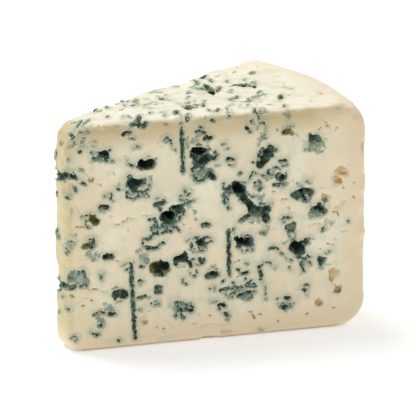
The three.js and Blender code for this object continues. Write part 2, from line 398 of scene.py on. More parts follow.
# %% Marks on the front cut: mould
front_mould = [
    (1.0, (20.5, 94.6), (22, 95.2), (22.4, 97)),
    (0.9, (26, 95.2), (29, 95.4)),
    (2.0, (22.2, 94.2), (23, 93.2)),
    (1.1, (23.6, 91.4), (24, 91.2)),
    (1.0, (27.2, 93), (26.4, 91.8)),
    (0.6, (30.5, 90), (32, 89.3)),
    (1.3, (25.4, 87.4), (26.3, 87.9)),
    (0.9, (30.5, 86.7), (33.5, 86.2)),
    (1.0, (30.5, 84.5), (33, 84), (34.6, 84.6)),
    (0.9, (35, 83.5), (37, 82.4), (39.5, 82)),
    (0.6, (37, 86.5), (38.3, 87)),
    (0.7, (21, 85), (20.8, 83.8)),
    (1.2, (23, 78.6), (24, 76.2)),
    (0.9, (19.5, 79.6), (20, 79.2)),
    (1.0, (26, 74), (27.8, 73)),
    (1.2, (23.5, 72.6), (23.8, 70.6)),
    (1.3, (18, 69.4), (18.6, 69)),
    (1.5, (19.9, 68), (20.6, 67.8)),
    (0.7, (46.5, 91.5), (48.3, 91)),
    (0.7, (48, 86.7), (49.5, 87.5), (51, 87)),
    (1.2, (46, 80.4), (47.8, 79.6)),
    (0.8, (49.6, 78.6), (51.4, 77.6)),
    (1.0, (62, 90.7), (61.2, 89)),
    (1.1, (62, 90.6), (63.5, 89.3), (64, 87.6)),
    (1.0, (60.5, 89.5), (62, 88.7)),
    (0.7, (64.5, 86), (66.2, 84.2)),
    (2.8, (46.2, 74.6), (47, 73), (47.6, 71.8)),
    (2.4, (50.6, 71.8), (52.8, 72.3)),
    (0.9, (45.2, 69), (45, 66.2), (48, 65), (50.5, 66), (50.4, 68)),
    (1.4, (50.3, 68), (52.5, 67.7), (54.5, 69)),
    (0.9, (52, 67.5), (52, 65.8), (54.4, 65.6)),
    (0.9, (41, 69.8), (43.5, 69.9), (45.4, 70.6)),
    (0.8, (53, 72.6), (53.6, 71.2), (55.4, 70.2)),
    (2.2, (74, 78.6), (75.4, 77.2)),
    (0.8, (75, 85.9), (77, 85.8), (79, 85.2)),
    (1.6, (73, 76), (73.2, 73.6)),
    (1.6, (73.2, 73), (75, 70.4), (78, 70.6), (80, 73), (80.6, 74.6)),
    (1.0, (76.2, 93.6), (77, 93)),
    (0.9, (81.2, 96), (82, 95.6)),
    (1.1, (71, 98), (70.8, 97.2)),
    (1.0, (67.8, 96), (68.6, 96)),
    (1.1, (36, 67.2), (37.2, 68.3), (38.7, 67.5), (38.4, 65.8), (39.3, 65.3)),
    (0.8, (34, 61.3), (35.6, 60.8)),
    (0.8, (27.6, 59.6), (29.4, 59.8), (31.4, 59.4)),
    (0.9, (28, 58), (27.8, 55.8)),
    (0.7, (28.5, 54.5), (29.6, 54.4)),
    (0.9, (57.8, 64.3), (59.5, 64.5), (61, 63.2), (61.6, 62.4)),
    (1.2, (68, 59.4), (69.4, 61)),
    (1.1, (64, 52.2), (66.6, 53.6), (68.6, 56)),
    (0.9, (66.5, 60.3), (70, 60.8), (73.6, 61.8)),
    (0.9, (67.7, 62.8), (67.6, 64.4), (69, 65.1), (70.6, 63.6), (71, 61.6)),
    (0.8, (69, 67.4), (70, 66.2), (70, 65)),
    (1.0, (72.2, 65.6), (70.8, 64)),
    (1.3, (69.6, 58.6), (68.9, 56)),
    (2.2, (57, 55), (57.5, 53.6), (58, 52.6)),
    (2.0, (60.5, 52.6), (61.5, 51.2), (62, 50)),
    (0.8, (55.5, 52), (55.8, 50.2), (58, 49.5), (59.6, 50.5)),
    (0.8, (62.3, 50.2), (64.5, 49.7), (65.3, 51.5)),
    (0.9, (66, 50.9), (67.5, 49.2)),
    (1.2, (58.4, 60.2), (59.4, 59.4)),
    (1.1, (54.6, 55.5), (56, 55.4)),
    (1.2, (17.5, 46.6), (18.6, 46.3)),
    (1.2, (20, 48.5), (22, 49.2), (23, 48.2)),
    (1.2, (28.5, 49), (31, 49), (31.6, 46.6)),
    (0.8, (42.8, 36.5), (44.6, 37.3)),
    (1.2, (46.8, 37.2), (46.8, 36.4)),
    (0.8, (44.5, 34.3), (45.6, 34.5)),
    (0.8, (52, 38), (53.4, 36.8)),
    (0.9, (50.4, 35.2), (51.6, 35.2)),
    (0.6, (49.6, 28.6), (50.4, 29.6), (51.8, 28.6), (50.6, 27.2), (49.6, 28.6)),
    (1.0, (33.3, 33.6), (34.8, 33.5)),
    (1.5, (34, 32.6), (34.3, 31.4)),
    (1.3, (24.4, 35.2), (26.6, 35.8), (27.4, 33.6)),
    (1.4, (25.5, 28.8), (28, 29)),
    (1.8, (17, 31.2), (18.6, 30.4), (20, 29), (22.6, 28.7)),
    (2.6, (16.4, 27.2), (18.4, 28.2)),
    (0.9, (39.6, 22.6), (40.5, 20.9), (43, 21.6)),
    (0.9, (57, 23.2), (59.5, 23)),
    (0.6, (54, 21), (55, 21.8)),
    (0.9, (55.3, 18.5), (56.5, 19.3), (58.7, 19), (58.5, 17.8), (56.3, 17.8), (55.3, 18.5)),
    (0.8, (50.2, 16.3), (50.9, 16.3)),
    (0.9, (39, 17.2), (39.9, 16.8)),
    (1.2, (29.5, 8.8), (30.5, 7.8), (31.5, 7.3), (32.8, 7.5)),
    (0.7, (31.3, 6.6), (31.8, 6.3)),
    (0.9, (21, 6.5), (22.5, 7.3), (24, 6.5), (22.8, 5.2)),
    (1.5, (19.6, 19.2), (20.4, 18.8)),
    (1.0, (15.8, 18.7), (16.2, 18.7)),
    (0.8, (65.3, 35), (67, 34.1), (69.5, 34.1)),
    (0.9, (72.5, 36.2), (75, 36.5), (77.8, 36.2), (78, 35)),
    (0.7, (74, 34.2), (76, 33.7), (77.2, 34)),
    (1.7, (52, 47), (54.5, 47), (56, 48.4)),
    (1.3, (56.5, 49.4), (58.5, 49)),
    (0.9, (51.8, 45.6), (52, 44), (54, 43.6)),
    (1.1, (58.5, 43), (59.3, 44.5), (61, 45)),
    (0.7, (54, 41.6), (53.5, 40.4)),
    (1.1, (60, 49.3), (62.5, 49.8), (64, 49.4)),
    (1.3, (73, 45.4), (75, 45.8), (77, 45.2), (80, 45.3), (81, 43.6)),
    (3.4, (76, 43.6), (77.2, 42), (77, 40.8)),
    (1.1, (72.6, 43.6), (73, 41.2), (75.4, 39.8)),
    (1.2, (80.4, 43.6), (79, 42.6)),
    (1.2, (70.6, 44.6), (71.8, 45)),
    (1.2, (71.5, 31.6), (72, 30), (73.6, 29), (75, 30), (74.5, 31.2)),
    (0.8, (69, 28.2), (68.8, 26.5), (70.5, 25.8)),
    (1.2, (82.8, 28.8), (84.5, 28.2)),
    (0.8, (80.4, 22.6), (81.4, 23.6), (83, 23), (82.4, 21.6)),
    (0.9, (80.6, 16.8), (81.4, 16.8)),
    (0.5, (82, 16.7), (84, 17)),
    (1.1, (63.5, 17), (66.2, 17.2)),
    (1.0, (66, 18.3), (69, 17.6), (70.4, 16.6)),
    (1.2, (71.8, 16.9), (73, 15), (73, 13.6)),
    (1.2, (65.5, 12.6), (66.2, 11.8)),
    (1.7, (68, 12.6), (69, 11)),
    (2.0, (66.4, 15.6), (67.6, 14)),
    (1.4, (84.2, 14.6), (84.8, 13.2)),
    (1.6, (86.5, 11.4), (88, 10.5)),
    (1.0, (100.4, 91), (101.5, 93), (103.3, 93.4), (104.3, 91.5), (103.9, 88.5), (104.2, 86.8)),
    (0.7, (103.3, 86.8), (105, 86.8)),
    (0.9, (98, 95.5), (98, 94), (99, 93.3)),
    (0.8, (101, 96), (101.5, 94.6)),
    (0.7, (112, 90), (114, 90.8), (116, 90.5)),
    (1.0, (85.6, 85.2), (86.8, 85.9)),
    (1.2, (86.9, 83.6), (87.8, 83.6)),
    (1.8, (107, 81.6), (108.4, 81)),
    (1.2, (103, 81.8), (101.6, 80), (101.2, 77.4)),
    (0.6, (98.3, 76.3), (101, 76.5)),
    (0.9, (121.3, 80.2), (122.4, 80.6)),
    (0.7, (88.5, 76.6), (90.5, 75.6), (90.9, 77.2)),
    (0.6, (83, 76.6), (84, 76.4)),
    (0.8, (111, 75.2), (111.5, 73.9), (113.5, 74)),
    (1.1, (105, 71), (106, 72.5), (108, 73.2), (109.8, 73.2), (110.6, 72.2)),
    (1.1, (105.4, 71), (106.5, 69.8), (107.6, 70)),
    (0.8, (112.8, 70.4), (113, 68.2)),
    (0.8, (99.5, 67.5), (101, 68.3), (102.5, 67.5), (103, 65.6), (101.5, 64.1), (100, 65)),
    (1.0, (97.3, 68.6), (98, 71), (99, 72)),
    (0.8, (99, 71.8), (100.5, 71.4), (103, 70.4), (104.6, 68.6)),
    (1.2, (92.8, 72), (93.4, 72)),
    (0.8, (87.6, 67.4), (91, 68.2), (96, 67.8)),
    (2.2, (87.6, 65.8), (88.4, 64.2)),
    (0.7, (101.6, 57.6), (104, 57.6), (106.8, 58)),
    (0.8, (96.5, 62.5), (98.5, 61.6)),
    (0.9, (101, 58), (103.5, 57.8), (106, 57.3), (106.4, 56.4)),
    (1.2, (86, 64), (87.5, 62), (86.5, 60)),
    (1.1, (87.5, 64), (88, 60.6)),
    (1.3, (88.2, 57.6), (88.6, 57.2)),
    (1.2, (86.4, 68.4), (86.2, 66)),
    (0.9, (116, 59.8), (117.6, 58.9)),
    (1.1, (123.6, 60.2), (123.3, 58.9)),
    (1.0, (119.5, 64.6), (120.4, 64)),
    (0.8, (121.6, 66), (123.5, 65.4)),
    (1.0, (124, 52.2), (124.2, 50)),
    (0.8, (123.7, 54.9), (124.4, 54.2)),
    (1.1, (111.5, 50.6), (113, 50.8), (115, 50.7)),
    (1.0, (111.8, 49.3), (112.4, 49.2)),
    (0.8, (90.5, 48), (90.7, 46)),
    (0.9, (94, 44.8), (96.5, 44.6), (98.8, 43.4), (98.9, 41.8)),
    (1.1, (92, 40), (93.6, 39.6)),
    (0.9, (93.4, 38.6), (95, 37.6), (97, 38.3), (98.8, 38.5)),
    (1.2, (106.3, 37.8), (107.5, 38.3), (109.3, 37.7), (110.5, 36.2), (112.5, 34.5)),
    (0.8, (112.5, 34.5), (114, 32.6), (116, 31.6)),
    (1.2, (113.4, 46), (114.6, 44.8), (116.6, 45.6)),
    (1.0, (116, 44.6), (117, 43.5)),
    (1.1, (115, 42.4), (116.5, 40.4)),
    (0.9, (119.5, 40.5), (122, 40.3), (124.6, 41)),
    (1.2, (118.3, 33), (120, 32.6), (122, 31)),
    (0.9, (119.4, 34.4), (121.6, 34.6), (123.8, 32.2)),
    (1.2, (119.8, 30.6), (120.3, 28.2), (121, 26.6)),
    (1.3, (122, 32), (124, 29.2)),
    (1.2, (128.8, 44), (130.3, 45)),
    (0.7, (140, 47), (140, 46.5)),
    (0.8, (130.5, 33.5), (132, 34)),
    (1.0, (101.2, 30.6), (103, 31)),
    (0.9, (103.5, 32), (106, 31.8), (107, 30.5), (108.5, 29.1)),
    (1.0, (102, 25), (103, 24)),
    (0.9, (103.5, 22.4), (104.2, 21)),
    (0.6, (104.2, 21), (104.6, 17)),
    (0.9, (104.4, 15.8), (104.8, 15.7)),
    (0.8, (109.5, 15.3), (109.9, 15.3)),
    (1.8, (85.3, 21.5), (88, 21.7), (91, 22.3), (94.5, 21.9)),
    (1.2, (90.5, 24.4), (91.2, 24.2)),
    (2.4, (96.5, 22.4), (99.4, 22.2)),
    (1.2, (89.6, 18.2), (90.4, 17.8)),
    (0.9, (87, 19.6), (88.6, 18)),
    (0.7, (94.5, 17.5), (95.8, 16.3), (97.5, 16.8), (98.8, 18.3)),
    (0.8, (95.6, 25.6), (96.2, 25.4)),
    (0.8, (85.5, 25), (87, 26)),
    (0.9, (92, 30), (92.8, 29.9)),
    (0.8, (95.8, 32.3), (96.6, 32)),
    (0.9, (111.4, 11.6), (112, 13), (113.6, 12.8), (113.8, 11.6)),
    (1.0, (115, 12), (116.5, 12.7)),
    (0.7, (115.2, 11), (115.6, 11)),
    (1.1, (121, 20.4), (123, 20), (122, 17.2), (120.7, 18.6), (121, 20.4)),
    (0.7, (122.2, 16), (122.6, 15.6)),
    (0.8, (114.6, 29), (115.2, 27.8)),
    (1.0, (102.2, 1.9), (102.9, 1.8)),
    (1.1, (41, 3.6), (41.4, 3.4)),
]
print("front mould:", len(front_mould))

# %% Marks on the front cut: haze, olive and bare
front_haze = [
    (1.6, (19.4, 95.4), (24, 97.4)),
    (1.2, (21.4, 89.6), (23, 90.2)),
    (1.0, (26, 90), (28.6, 89)),
    (2.0, (30, 83.4), (35.6, 82)),
    (2.2, (46.4, 68.2), (52, 66.8)),
    (1.8, (55, 73.4), (54.6, 70)),
    (2.4, (73.4, 88), (76, 90)),
    (2.0, (69, 62.4), (71.8, 60)),
    (2.6, (56.4, 51.6), (61, 51.8), (64.4, 50.8)),
    (1.8, (71.4, 42), (74, 38.8)),
    (2.0, (99.6, 62), (102.4, 60.4)),
    (2.2, (85.8, 62.4), (87.6, 58.6)),
    (2.4, (98, 51.4), (101, 50.4)),
    (2.2, (118, 59), (122.4, 57.6)),
    (2.2, (116, 41.6), (118.4, 33.6)),
    (1.8, (104.4, 69), (107.4, 71)),
    (1.8, (101, 84), (102.6, 87.4)),
    (1.6, (16, 92), (18.6, 91.4)),
    (1.6, (46, 82.8), (47.8, 82.9)),
    (0.8, (53, 83), (55, 83.2)),
    (0.7, (57.5, 81), (59.5, 82.3)),
    (0.9, (58.8, 87.7), (59.2, 87.6)),
    (1.3, (71, 89), (70.8, 85.6)),
    (1.4, (26, 79.7), (26.4, 79.5)),
    (1.6, (41, 71.6), (42, 72.2)),
    (4.6, (74.6, 73), (77, 72.6), (78.4, 72.6)),
    (1.3, (26, 59.3), (26.4, 59)),
    (1.4, (73.3, 56.8), (73.9, 56.6)),
    (1.2, (73.5, 54.2), (74.1, 54.2)),
    (1.3, (50.8, 63), (51.4, 63)),
    (2.2, (16.2, 51.8), (16.8, 51.2)),
    (1.4, (22.6, 52), (23.4, 51.8)),
    (2.0, (21, 47.4), (22.4, 46.8)),
    (3.2, (29, 42.4), (30.6, 41.4), (33, 42)),
    (5.0, (23.4, 33.6), (25, 31.4), (26.4, 31)),
    (2.4, (19.8, 30), (21.4, 29)),
    (3.0, (36.2, 19.4), (37.6, 18)),
    (2.2, (33, 14.2), (34.2, 12.4)),
    (1.0, (35, 21.4), (35.2, 20.6)),
    (1.3, (80.6, 32.6), (81.6, 31.6), (82.6, 32.6)),
    (3.0, (80, 29), (83.6, 28.6)),
    (4.2, (66.4, 15.8), (69, 15.4), (71, 15)),
    (1.6, (87.2, 8.8), (87.6, 8.2)),
    (2.6, (52.6, 38.6), (49.6, 41.6)),
    (1.3, (98.2, 94.6), (98.8, 94.8)),
    (2.0, (113, 96), (114, 94.4)),
    (1.6, (117.4, 86.6), (118.4, 86.3)),
    (2.0, (103, 80.6), (104, 80.8)),
    (6.4, (125.8, 80.6), (126.6, 80.2)),
    (1.6, (92.6, 71.8), (93.4, 72.2)),
    (3.0, (101, 66.2), (101.6, 65.8)),
    (1.6, (116.8, 65.6), (117.8, 65.4)),
    (2.4, (124.2, 52), (125.2, 50.4)),
    (2.8, (126.8, 51.2), (128, 50.8)),
    (1.8, (129.6, 56.8), (131.4, 55)),
    (1.4, (114.6, 56), (114.4, 52.6)),
    (3.0, (104, 46.6), (105, 46.8)),
    (1.8, (107.5, 43.3), (110, 41), (112.5, 38.5)),
    (3.6, (114.4, 45.8), (115.4, 45.2)),
    (1.8, (122.6, 38.6), (123.6, 38)),
    (1.8, (130.5, 47), (132, 45.8), (133.5, 47)),
    (3.0, (129.8, 29.6), (131, 29.4)),
    (2.4, (128.2, 28), (128.8, 27.6)),
    (2.6, (121, 32), (122, 31.4)),
    (0.8, (135.2, 39.2), (135.6, 39)),
    (2.0, (92, 20.4), (95, 20.6)),
    (2.8, (95, 17.8), (97.4, 18)),
    (3.2, (112, 12.2), (114.6, 12.2)),
    (1.0, (117.3, 18.6), (117.8, 18.4)),
    (1.6, (121.6, 18.8), (122, 18.4)),
    (1.2, (111.4, 30.2), (111.8, 29.8)),
    (2.4, (98.6, 38), (97.4, 40)),
]
front_olive = [
    (3.2, (30.4, 58.2), (31.4, 57.4), (32, 56.4)),
    (2.6, (26.8, 46.4), (28.4, 46.8), (29.4, 46.8)),
    (1.6, (29, 75), (31, 74.3)),
    (0.6, (31, 91.5), (32, 92), (33.5, 90.5), (35.5, 90)),
    (2.6, (111.6, 88), (113.6, 88.8), (115.6, 87.4)),
    (0.8, (109, 89.3), (110.6, 88.4)),
    (1.3, (21.8, 25), (22.4, 24.8)),
    (0.8, (38.5, 27), (40.5, 27.3)),
    (0.8, (118.5, 25.3), (118, 24), (119, 22.8), (119.8, 24), (119.3, 25.5)),
    (1.4, (97.8, 48.2), (98.4, 47.8)),
    (5.6, (57.2, 34), (60.6, 33.8)),
    (1.8, (63.4, 55.4), (64.6, 54.8)),
    (0.7, (100.3, 91), (101.2, 88.8), (102.5, 88.4)),
    (0.9, (61.6, 96), (62.2, 95.8)),
    (1.0, (78.4, 98), (78.8, 97.6)),
]
front_bare = [
    (0.5, (40, 54.5), (42, 54.5)),
    (0.6, (43, 55.5), (45, 55.8), (45.5, 57), (48.5, 56.4)),
    (0.5, (52, 57.3), (53.7, 57.5)),
    (0.4, (45.8, 53), (45.7, 51)),
    (0.5, (38, 58.6), (39, 58.8)),
    (0.5, (68.5, 52.6), (69.4, 51.7)),
    (0.9, (24, 55), (27, 54.8), (29.5, 55.3)),
    (0.8, (29, 27.3), (32.5, 27)),
    (0.6, (34, 26.2), (36.5, 26)),
    (0.5, (40.4, 39), (41.6, 38.5)),
    (0.7, (54, 15.5), (54.6, 15.5)),
    (0.8, (29.8, 22.3), (30.3, 22.4)),
    (0.9, (25.8, 20.5), (26.6, 20.5)),
    (2.6, (51.8, 11.8), (52.8, 11)),
    (0.7, (60.2, 7), (60.8, 6.9)),
    (0.6, (57.6, 7.8), (58, 7.7)),
    (0.6, (73.4, 7.8), (74.6, 7.8)),
    (0.6, (76, 12.2), (76, 11.4)),
    (0.7, (80.2, 10.8), (80.8, 10.6)),
    (0.5, (127, 88), (128, 89.2)),
    (0.6, (129.8, 91), (130.2, 90.8)),
    (0.8, (130, 89.4), (131, 89.4)),
    (0.5, (134.8, 88.5), (134.2, 87.4)),
    (0.8, (129.6, 83.8), (130.4, 83.8)),
    (2.6, (136.4, 69.6), (138.4, 69)),
    (1.8, (135.2, 66.2), (136.2, 64.6)),
    (1.3, (135.6, 53.6), (137, 55), (138.7, 56.2)),
    (0.8, (133.3, 51.5), (135.3, 51.6), (136, 49.6)),
    (0.7, (111, 58.7), (112.5, 59.2), (113.7, 58.8)),
    (0.5, (107, 62.9), (108.4, 62.8)),
    (0.9, (142.3, 57.4), (142.7, 57)),
    (0.6, (128.3, 62.7), (129, 62.7)),
    (0.6, (137.7, 62), (138, 61.5)),
    (0.6, (142.2, 63.8), (142.8, 63.6)),
    (1.4, (130.4, 58.4), (132, 58.2)),
    (0.5, (123, 46.3), (125.5, 47.2), (128, 46.8)),
    (0.6, (131, 37.8), (134, 36.9)),
    (0.6, (128, 35.8), (129, 35.7)),
    (0.5, (137, 42.8), (139.5, 42.7)),
    (2.2, (134, 25.4), (133.8, 23.6), (133.2, 21.8)),
    (0.5, (133.5, 20), (136, 17.6)),
    (1.8, (136, 17), (137, 18)),
    (2.2, (127, 11.9), (128.2, 11.4)),
    (0.8, (134, 9), (134.6, 8.9)),
    (0.7, (122, 7.2), (123, 7.4)),
    (0.8, (110, 5.6), (110, 5)),
    (1.0, (99, 9), (99.8, 7.6)),
    (0.6, (101.4, 9.2), (102.6, 9)),
    (0.7, (97, 11), (98.5, 10.4)),
    (0.7, (91, 33.5), (93.3, 33.8)),
    (0.8, (92.2, 26.8), (92.8, 26.8)),
    (0.6, (99.8, 28.6), (99.8, 27.6)),
    (0.6, (108.5, 13.2), (111, 13.4)),
    (0.7, (89.6, 9.4), (90, 9.2)),
    (0.6, (39.6, 77), (40.4, 76.4)),
    (0.5, (33, 73), (34.6, 72)),
    (0.5, (71.6, 50.2), (72.6, 50)),
]
print("front haze, olive and bare:", len(front_haze), len(front_olive), len(front_bare))

# %% [markdown]
# The top is the wheel's own face, so its gaps are fewer, longer and drier. Those at its front edge
# run down into the marks of the front cut. The narrow tip cut carries a few marks of its own.

# %% Marks on the top and the tip
top_gaps = [
    (1.0, (34.8, 17), (36.5, 19.6)),
    (1.6, (49.8, 1), (51, 3.4), (52.4, 6.4)),
    (1.5, (67.5, 6.4), (68, 8), (69, 10)),
    (0.9, (70.6, 1), (71.5, 2.4), (72.5, 4.4)),
    (2.8, (74.2, 11.2), (74.8, 14.4)),
    (0.9, (80.5, 12), (82, 15.6)),
    (0.9, (82, 8), (82.5, 5), (84.5, 4), (86, 7.5)),
    (2.2, (90, 30), (90.4, 35), (89.8, 40.6)),
    (1.0, (91, 30), (93, 33), (95, 36.5)),
    (1.8, (90.4, 49.8), (92.5, 53)),
    (2.8, (103.4, 35.4), (105.6, 34.4), (108, 34.2)),
    (1.6, (114.4, 14.2), (115.4, 16), (116.4, 18.4)),
    (1.6, (112.6, 51), (114, 53)),
    (1.0, (99.6, 1), (100.2, 2.6), (101, 4.4)),
]
top_mould = [
    (1.2, (51, 5), (53.4, 9)),
    (0.8, (30, 6.4), (32, 9)),
    (1.2, (69.4, 2), (68.8, 5)),
    (1.4, (72.4, 18.2), (73.6, 16.4)),
    (2.4, (86, 35.4), (89.4, 32.8)),
    (0.7, (104, 19.6), (106.6, 21.4)),
    (0.7, (101.2, 15.6), (102.4, 19)),
    (1.7, (101, 36.6), (104, 37.2), (108.6, 36.4)),
    (1.2, (109.2, 33.4), (110.4, 38)),
    (0.8, (45, 6), (46.4, 9)),
    (0.8, (62, 3.6), (63.4, 6)),
    (0.9, (77, 24), (78.6, 27)),
    (0.8, (79.6, 32), (81, 34.6)),
    (0.8, (96, 6), (95.4, 9)),
    (0.8, (107.6, 23), (109, 26)),
    (0.9, (99.4, 43), (100.8, 45.6)),
    (0.8, (41.6, 20), (42.8, 22.4)),
    (0.8, (57, 8.6), (58.4, 11)),
    (2.0, (23.4, 1), (25, 3.2), (27, 6), (28.5, 8)),
    (0.9, (39, 8), (40, 10.5)),
    (1.0, (50, 21), (50.5, 24)),
    (0.8, (52, 26), (53, 27.6)),
    (1.9, (53, 21), (55, 22)),
    (0.9, (54.5, 25), (57, 29.6)),
    (1.7, (57.5, 18), (59.5, 16)),
    (1.1, (60.5, 28.6), (60.9, 29.4)),
    (1.3, (62.2, 9), (62.8, 9.6)),
    (0.8, (68.5, 3), (69, 1)),
    (1.3, (66.5, 31), (67, 27), (69.5, 24)),
    (0.8, (69.8, 30.4), (70.2, 31.6)),
    (1.2, (75.8, 40.8), (76.4, 41.4)),
    (0.9, (66, 38.6), (68, 40.4)),
    (1.3, (73, 17.2), (73.2, 18)),
    (1.5, (75.5, 18), (77, 20.4)),
    (0.9, (88.7, 1), (89.5, 3.4), (90, 9)),
    (1.1, (82.8, 20), (83.2, 21)),
    (4.0, (86, 36.6), (88.4, 36.6)),
    (1.5, (86, 48.4), (87.5, 44.6)),
    (1.3, (93, 49), (94, 46)),
    (0.9, (92.8, 42.6), (93.2, 43.6)),
    (1.8, (94.5, 19.6), (97, 20), (98.5, 22)),
    (1.2, (97, 29.6), (98, 31)),
    (0.9, (98.5, 7), (99.5, 10)),
    (1.0, (109, 37), (109.5, 39)),
    (1.2, (110.8, 39.2), (111.4, 40)),
    (1.3, (107.8, 43.4), (108.4, 44.6)),
    (1.2, (120.6, 29.6), (121.4, 28.6)),
    (1.0, (122.2, 26), (122.8, 26)),
    (1.1, (113, 3), (114, 6)),
    (2.0, (76.4, 13), (78.8, 15.4)),
]
top_haze = [
    (1.8, (25, 9.4), (27, 8)),
    (1.6, (28, 3), (31, 7)),
    (1.8, (49, 6.4), (48.4, 10)),
    (3.0, (75.6, 18.4), (79, 19.6)),
    (3.4, (83.4, 38.4), (88, 34.4)),
    (3.0, (94.6, 17.4), (97, 20)),
    (3.0, (102, 38.4), (107, 39)),
    (1.3, (91, 11), (94, 12.8), (97, 13)),
    (2.0, (65, 38.2), (69, 37)),
    (1.7, (98.6, 28), (100.4, 27)),
    (2.2, (55.4, 24), (57.4, 28)),
    (2.4, (67, 22), (67.4, 28)),
    (2.6, (67.6, 4), (69, 9)),
    (2.0, (60, 21), (62.4, 24)),
    (2.4, (92.6, 44), (93.4, 48)),
    (2.6, (86.6, 42), (87.6, 47)),
    (2.0, (113.6, 12), (115.8, 19)),
    (2.2, (29, 5), (31, 7)),
    (2.4, (37.4, 18), (38.8, 19)),
    (1.5, (44.2, 14.6), (44.8, 15.4)),
    (1.2, (47.2, 17.2), (47.8, 17.8)),
    (1.3, (57.8, 21.8), (58.4, 22.4)),
    (1.4, (51.8, 8), (52.4, 9.2)),
    (1.5, (67.8, 15.6), (68.2, 16.6)),
    (3.4, (77, 12.4), (80, 16)),
    (2.0, (77.6, 41.6), (78.6, 42.6)),
    (1.5, (82.2, 25.6), (83, 26.6)),
    (3.0, (83.4, 39), (85, 41)),
    (1.6, (97.6, 52), (98.6, 53)),
    (2.4, (102, 16), (105, 20)),
    (1.3, (102.8, 9.6), (103.4, 10.6)),
    (1.0, (108, 8.8), (108.6, 9.4)),
    (2.2, (111, 20), (109, 28)),
    (1.5, (105.6, 54.6), (106.4, 55.6)),
    (1.0, (125.2, 31.8), (125.8, 32.4)),
    (1.0, (125.2, 18.8), (125.8, 19.2)),
    (1.2, (119.8, 19.2), (120.4, 20)),
]
top_bare = [
    (1.0, (109.4, 61.8), (109.8, 62.4)),
    (0.8, (123, 45), (123.6, 45.4)),
    (1.1, (126.4, 8.6), (126.8, 9.6)),
    (1.2, (133, 17), (134, 19)),
    (0.8, (121.8, 34), (122.4, 35)),
    (0.8, (33.8, 1.2), (34.2, 1.8)),
    (0.8, (117.6, 59.6), (118.4, 60.4)),
]
tip_gaps = [
    (1.5, (0, 77.2), (3, 76.6), (5.5, 75.8)),
    (1.6, (5.5, 75.6), (8.6, 76.2)),
    (1.8, (4.6, 28.6), (8.2, 28.2)),
]
tip_mould = [
    (1.6, (4.6, 74.6), (8.4, 74.4)),
    (1.2, (8.4, 67), (9.4, 67)),
    (1.8, (6, 26.4), (8.6, 25.4)),
    (1.0, (4.6, 23.6), (5.4, 23.4)),
    (1.1, (7, 16.2), (7.8, 16)),
    (1.3, (8, 52), (9, 50.6)),
    (1.2, (9.2, 85), (9.8, 83)),
]
tip_haze = [
    (2.2, (4.4, 89.8), (5.8, 89.6)),
    (2.2, (6.6, 49.2), (7.8, 48.8)),
    (2.6, (7.4, 30.6), (9.2, 29)),
]
print("marks set down:", sum(map(len, (
    front_gaps, front_mould, front_haze, front_olive, front_bare,
    top_gaps, top_mould, top_haze, top_bare, tip_gaps, tip_mould, tip_haze))))

# %% [markdown]
# The back cut, the base and the rind side face away, but they are the same cheese. The back and the
# base go through the same kind of curd, so their marks are strewn by chance in clusters: at most one
# gap, mould winding around it and often haze beneath. The seeds are fixed, so the marks fall the same
# way each time. The rind side was closed to the air and has only small dry pits, listed one by one.


# %% Marks on the hidden faces
def wander(chance, start, step, count):
    """A crooked line from a start, turning by chance at each step"""
    most_turn = 1.3
    heading = chance.uniform(0, 2 * math.pi)
    route = [start]
    for _ in range(count):
        heading += chance.uniform(-most_turn, most_turn)
        along, up = route[-1]
        route.append((along + step * math.cos(heading), up + step * math.sin(heading)))
    return route


def strewn(seed, clusters, along_range, up_range, limit=None):
    """Clusters of marks over a face, kept to where limit(along, up) allows"""
    gap_chance = 0.62
    haze_chance = 0.5
    chance = random.Random(seed)
    gaps, mould, haze = [], [], []
    made = 0
    while made < clusters:
        along, up = chance.uniform(*along_range), chance.uniform(*up_range)
        if limit and not limit(along, up):
            continue
        made += 1
        size = chance.choice((1.6, 2.2, 2.8, 3.6, 4.8))
        if chance.random() < gap_chance:
            gaps.append((size * chance.uniform(0.4, 0.85), *wander(chance, (along, up), size * 0.5, 3)))
        for _ in range(chance.randint(2, 4)):
            angle = chance.uniform(0, 2 * math.pi)
            start = (along + size * math.cos(angle), up + size * math.sin(angle))
            mould.append((chance.uniform(0.7, 1.7), *wander(chance, start, 1.5, chance.randint(1, 4))))
        if chance.random() < haze_chance:
            haze.append((size * 0.9, *wander(chance, (along, up), size * 0.5, 2)))
    return gaps, mould, haze


def on_slice(along, across):
    """Whether a place on the base is inside the wedge, clear of its edges"""
    from_centre = (Vector((along, across, 0)) - wheel_centre).length
    clear_of_cuts = clear_front < across < along * math.tan(wedge_angle) - clear_back
    return clear_of_cuts and from_centre < wheel_radius - clear_rind


clear_front = 9
clear_back = 8
clear_rind = 22
back_gaps, back_mould, back_haze = strewn(11, 64, (25, 136), (8, 91))
base_gaps, base_mould, base_haze = strewn(5, 22, (26, 116), (3, 70), on_slice)
rind_bare = [
    (0.7, (4, 76), (5, 75)), (0.6, (9, 70), (10.6, 70.6)), (1.3, (13, 83), (13.5, 82.4)),
    (0.5, (17, 61), (19, 61.8), (20, 61)), (1.5, (24, 71), (24.5, 70)), (0.8, (28, 52), (28.6, 51)),
    (1.4, (7, 46), (7.3, 45)), (0.5, (11, 38), (13, 37), (13.6, 35.8)), (0.9, (22, 40), (22.4, 39.6)),
    (1.3, (26, 24), (26.4, 23.2)), (0.6, (15, 22), (16.8, 22.4)), (0.8, (5, 20), (5.4, 19.6)),
]
print("strewn on the back:", len(back_mould), "and on the base:", len(base_mould))

# %% [markdown]
# Chips are missing along the edges: clean and mouldy steps along the back of the top, mouldy notches
# in the tip, and clean chips at the foot of the front cut. Each cut also laid three needle tracks
# open. With them every list is there, and each mark is put into the knife's frame as a stroke: its
# width, its line and the way its face looks. The top's marks are made a quarter narrower than their
# lists say.

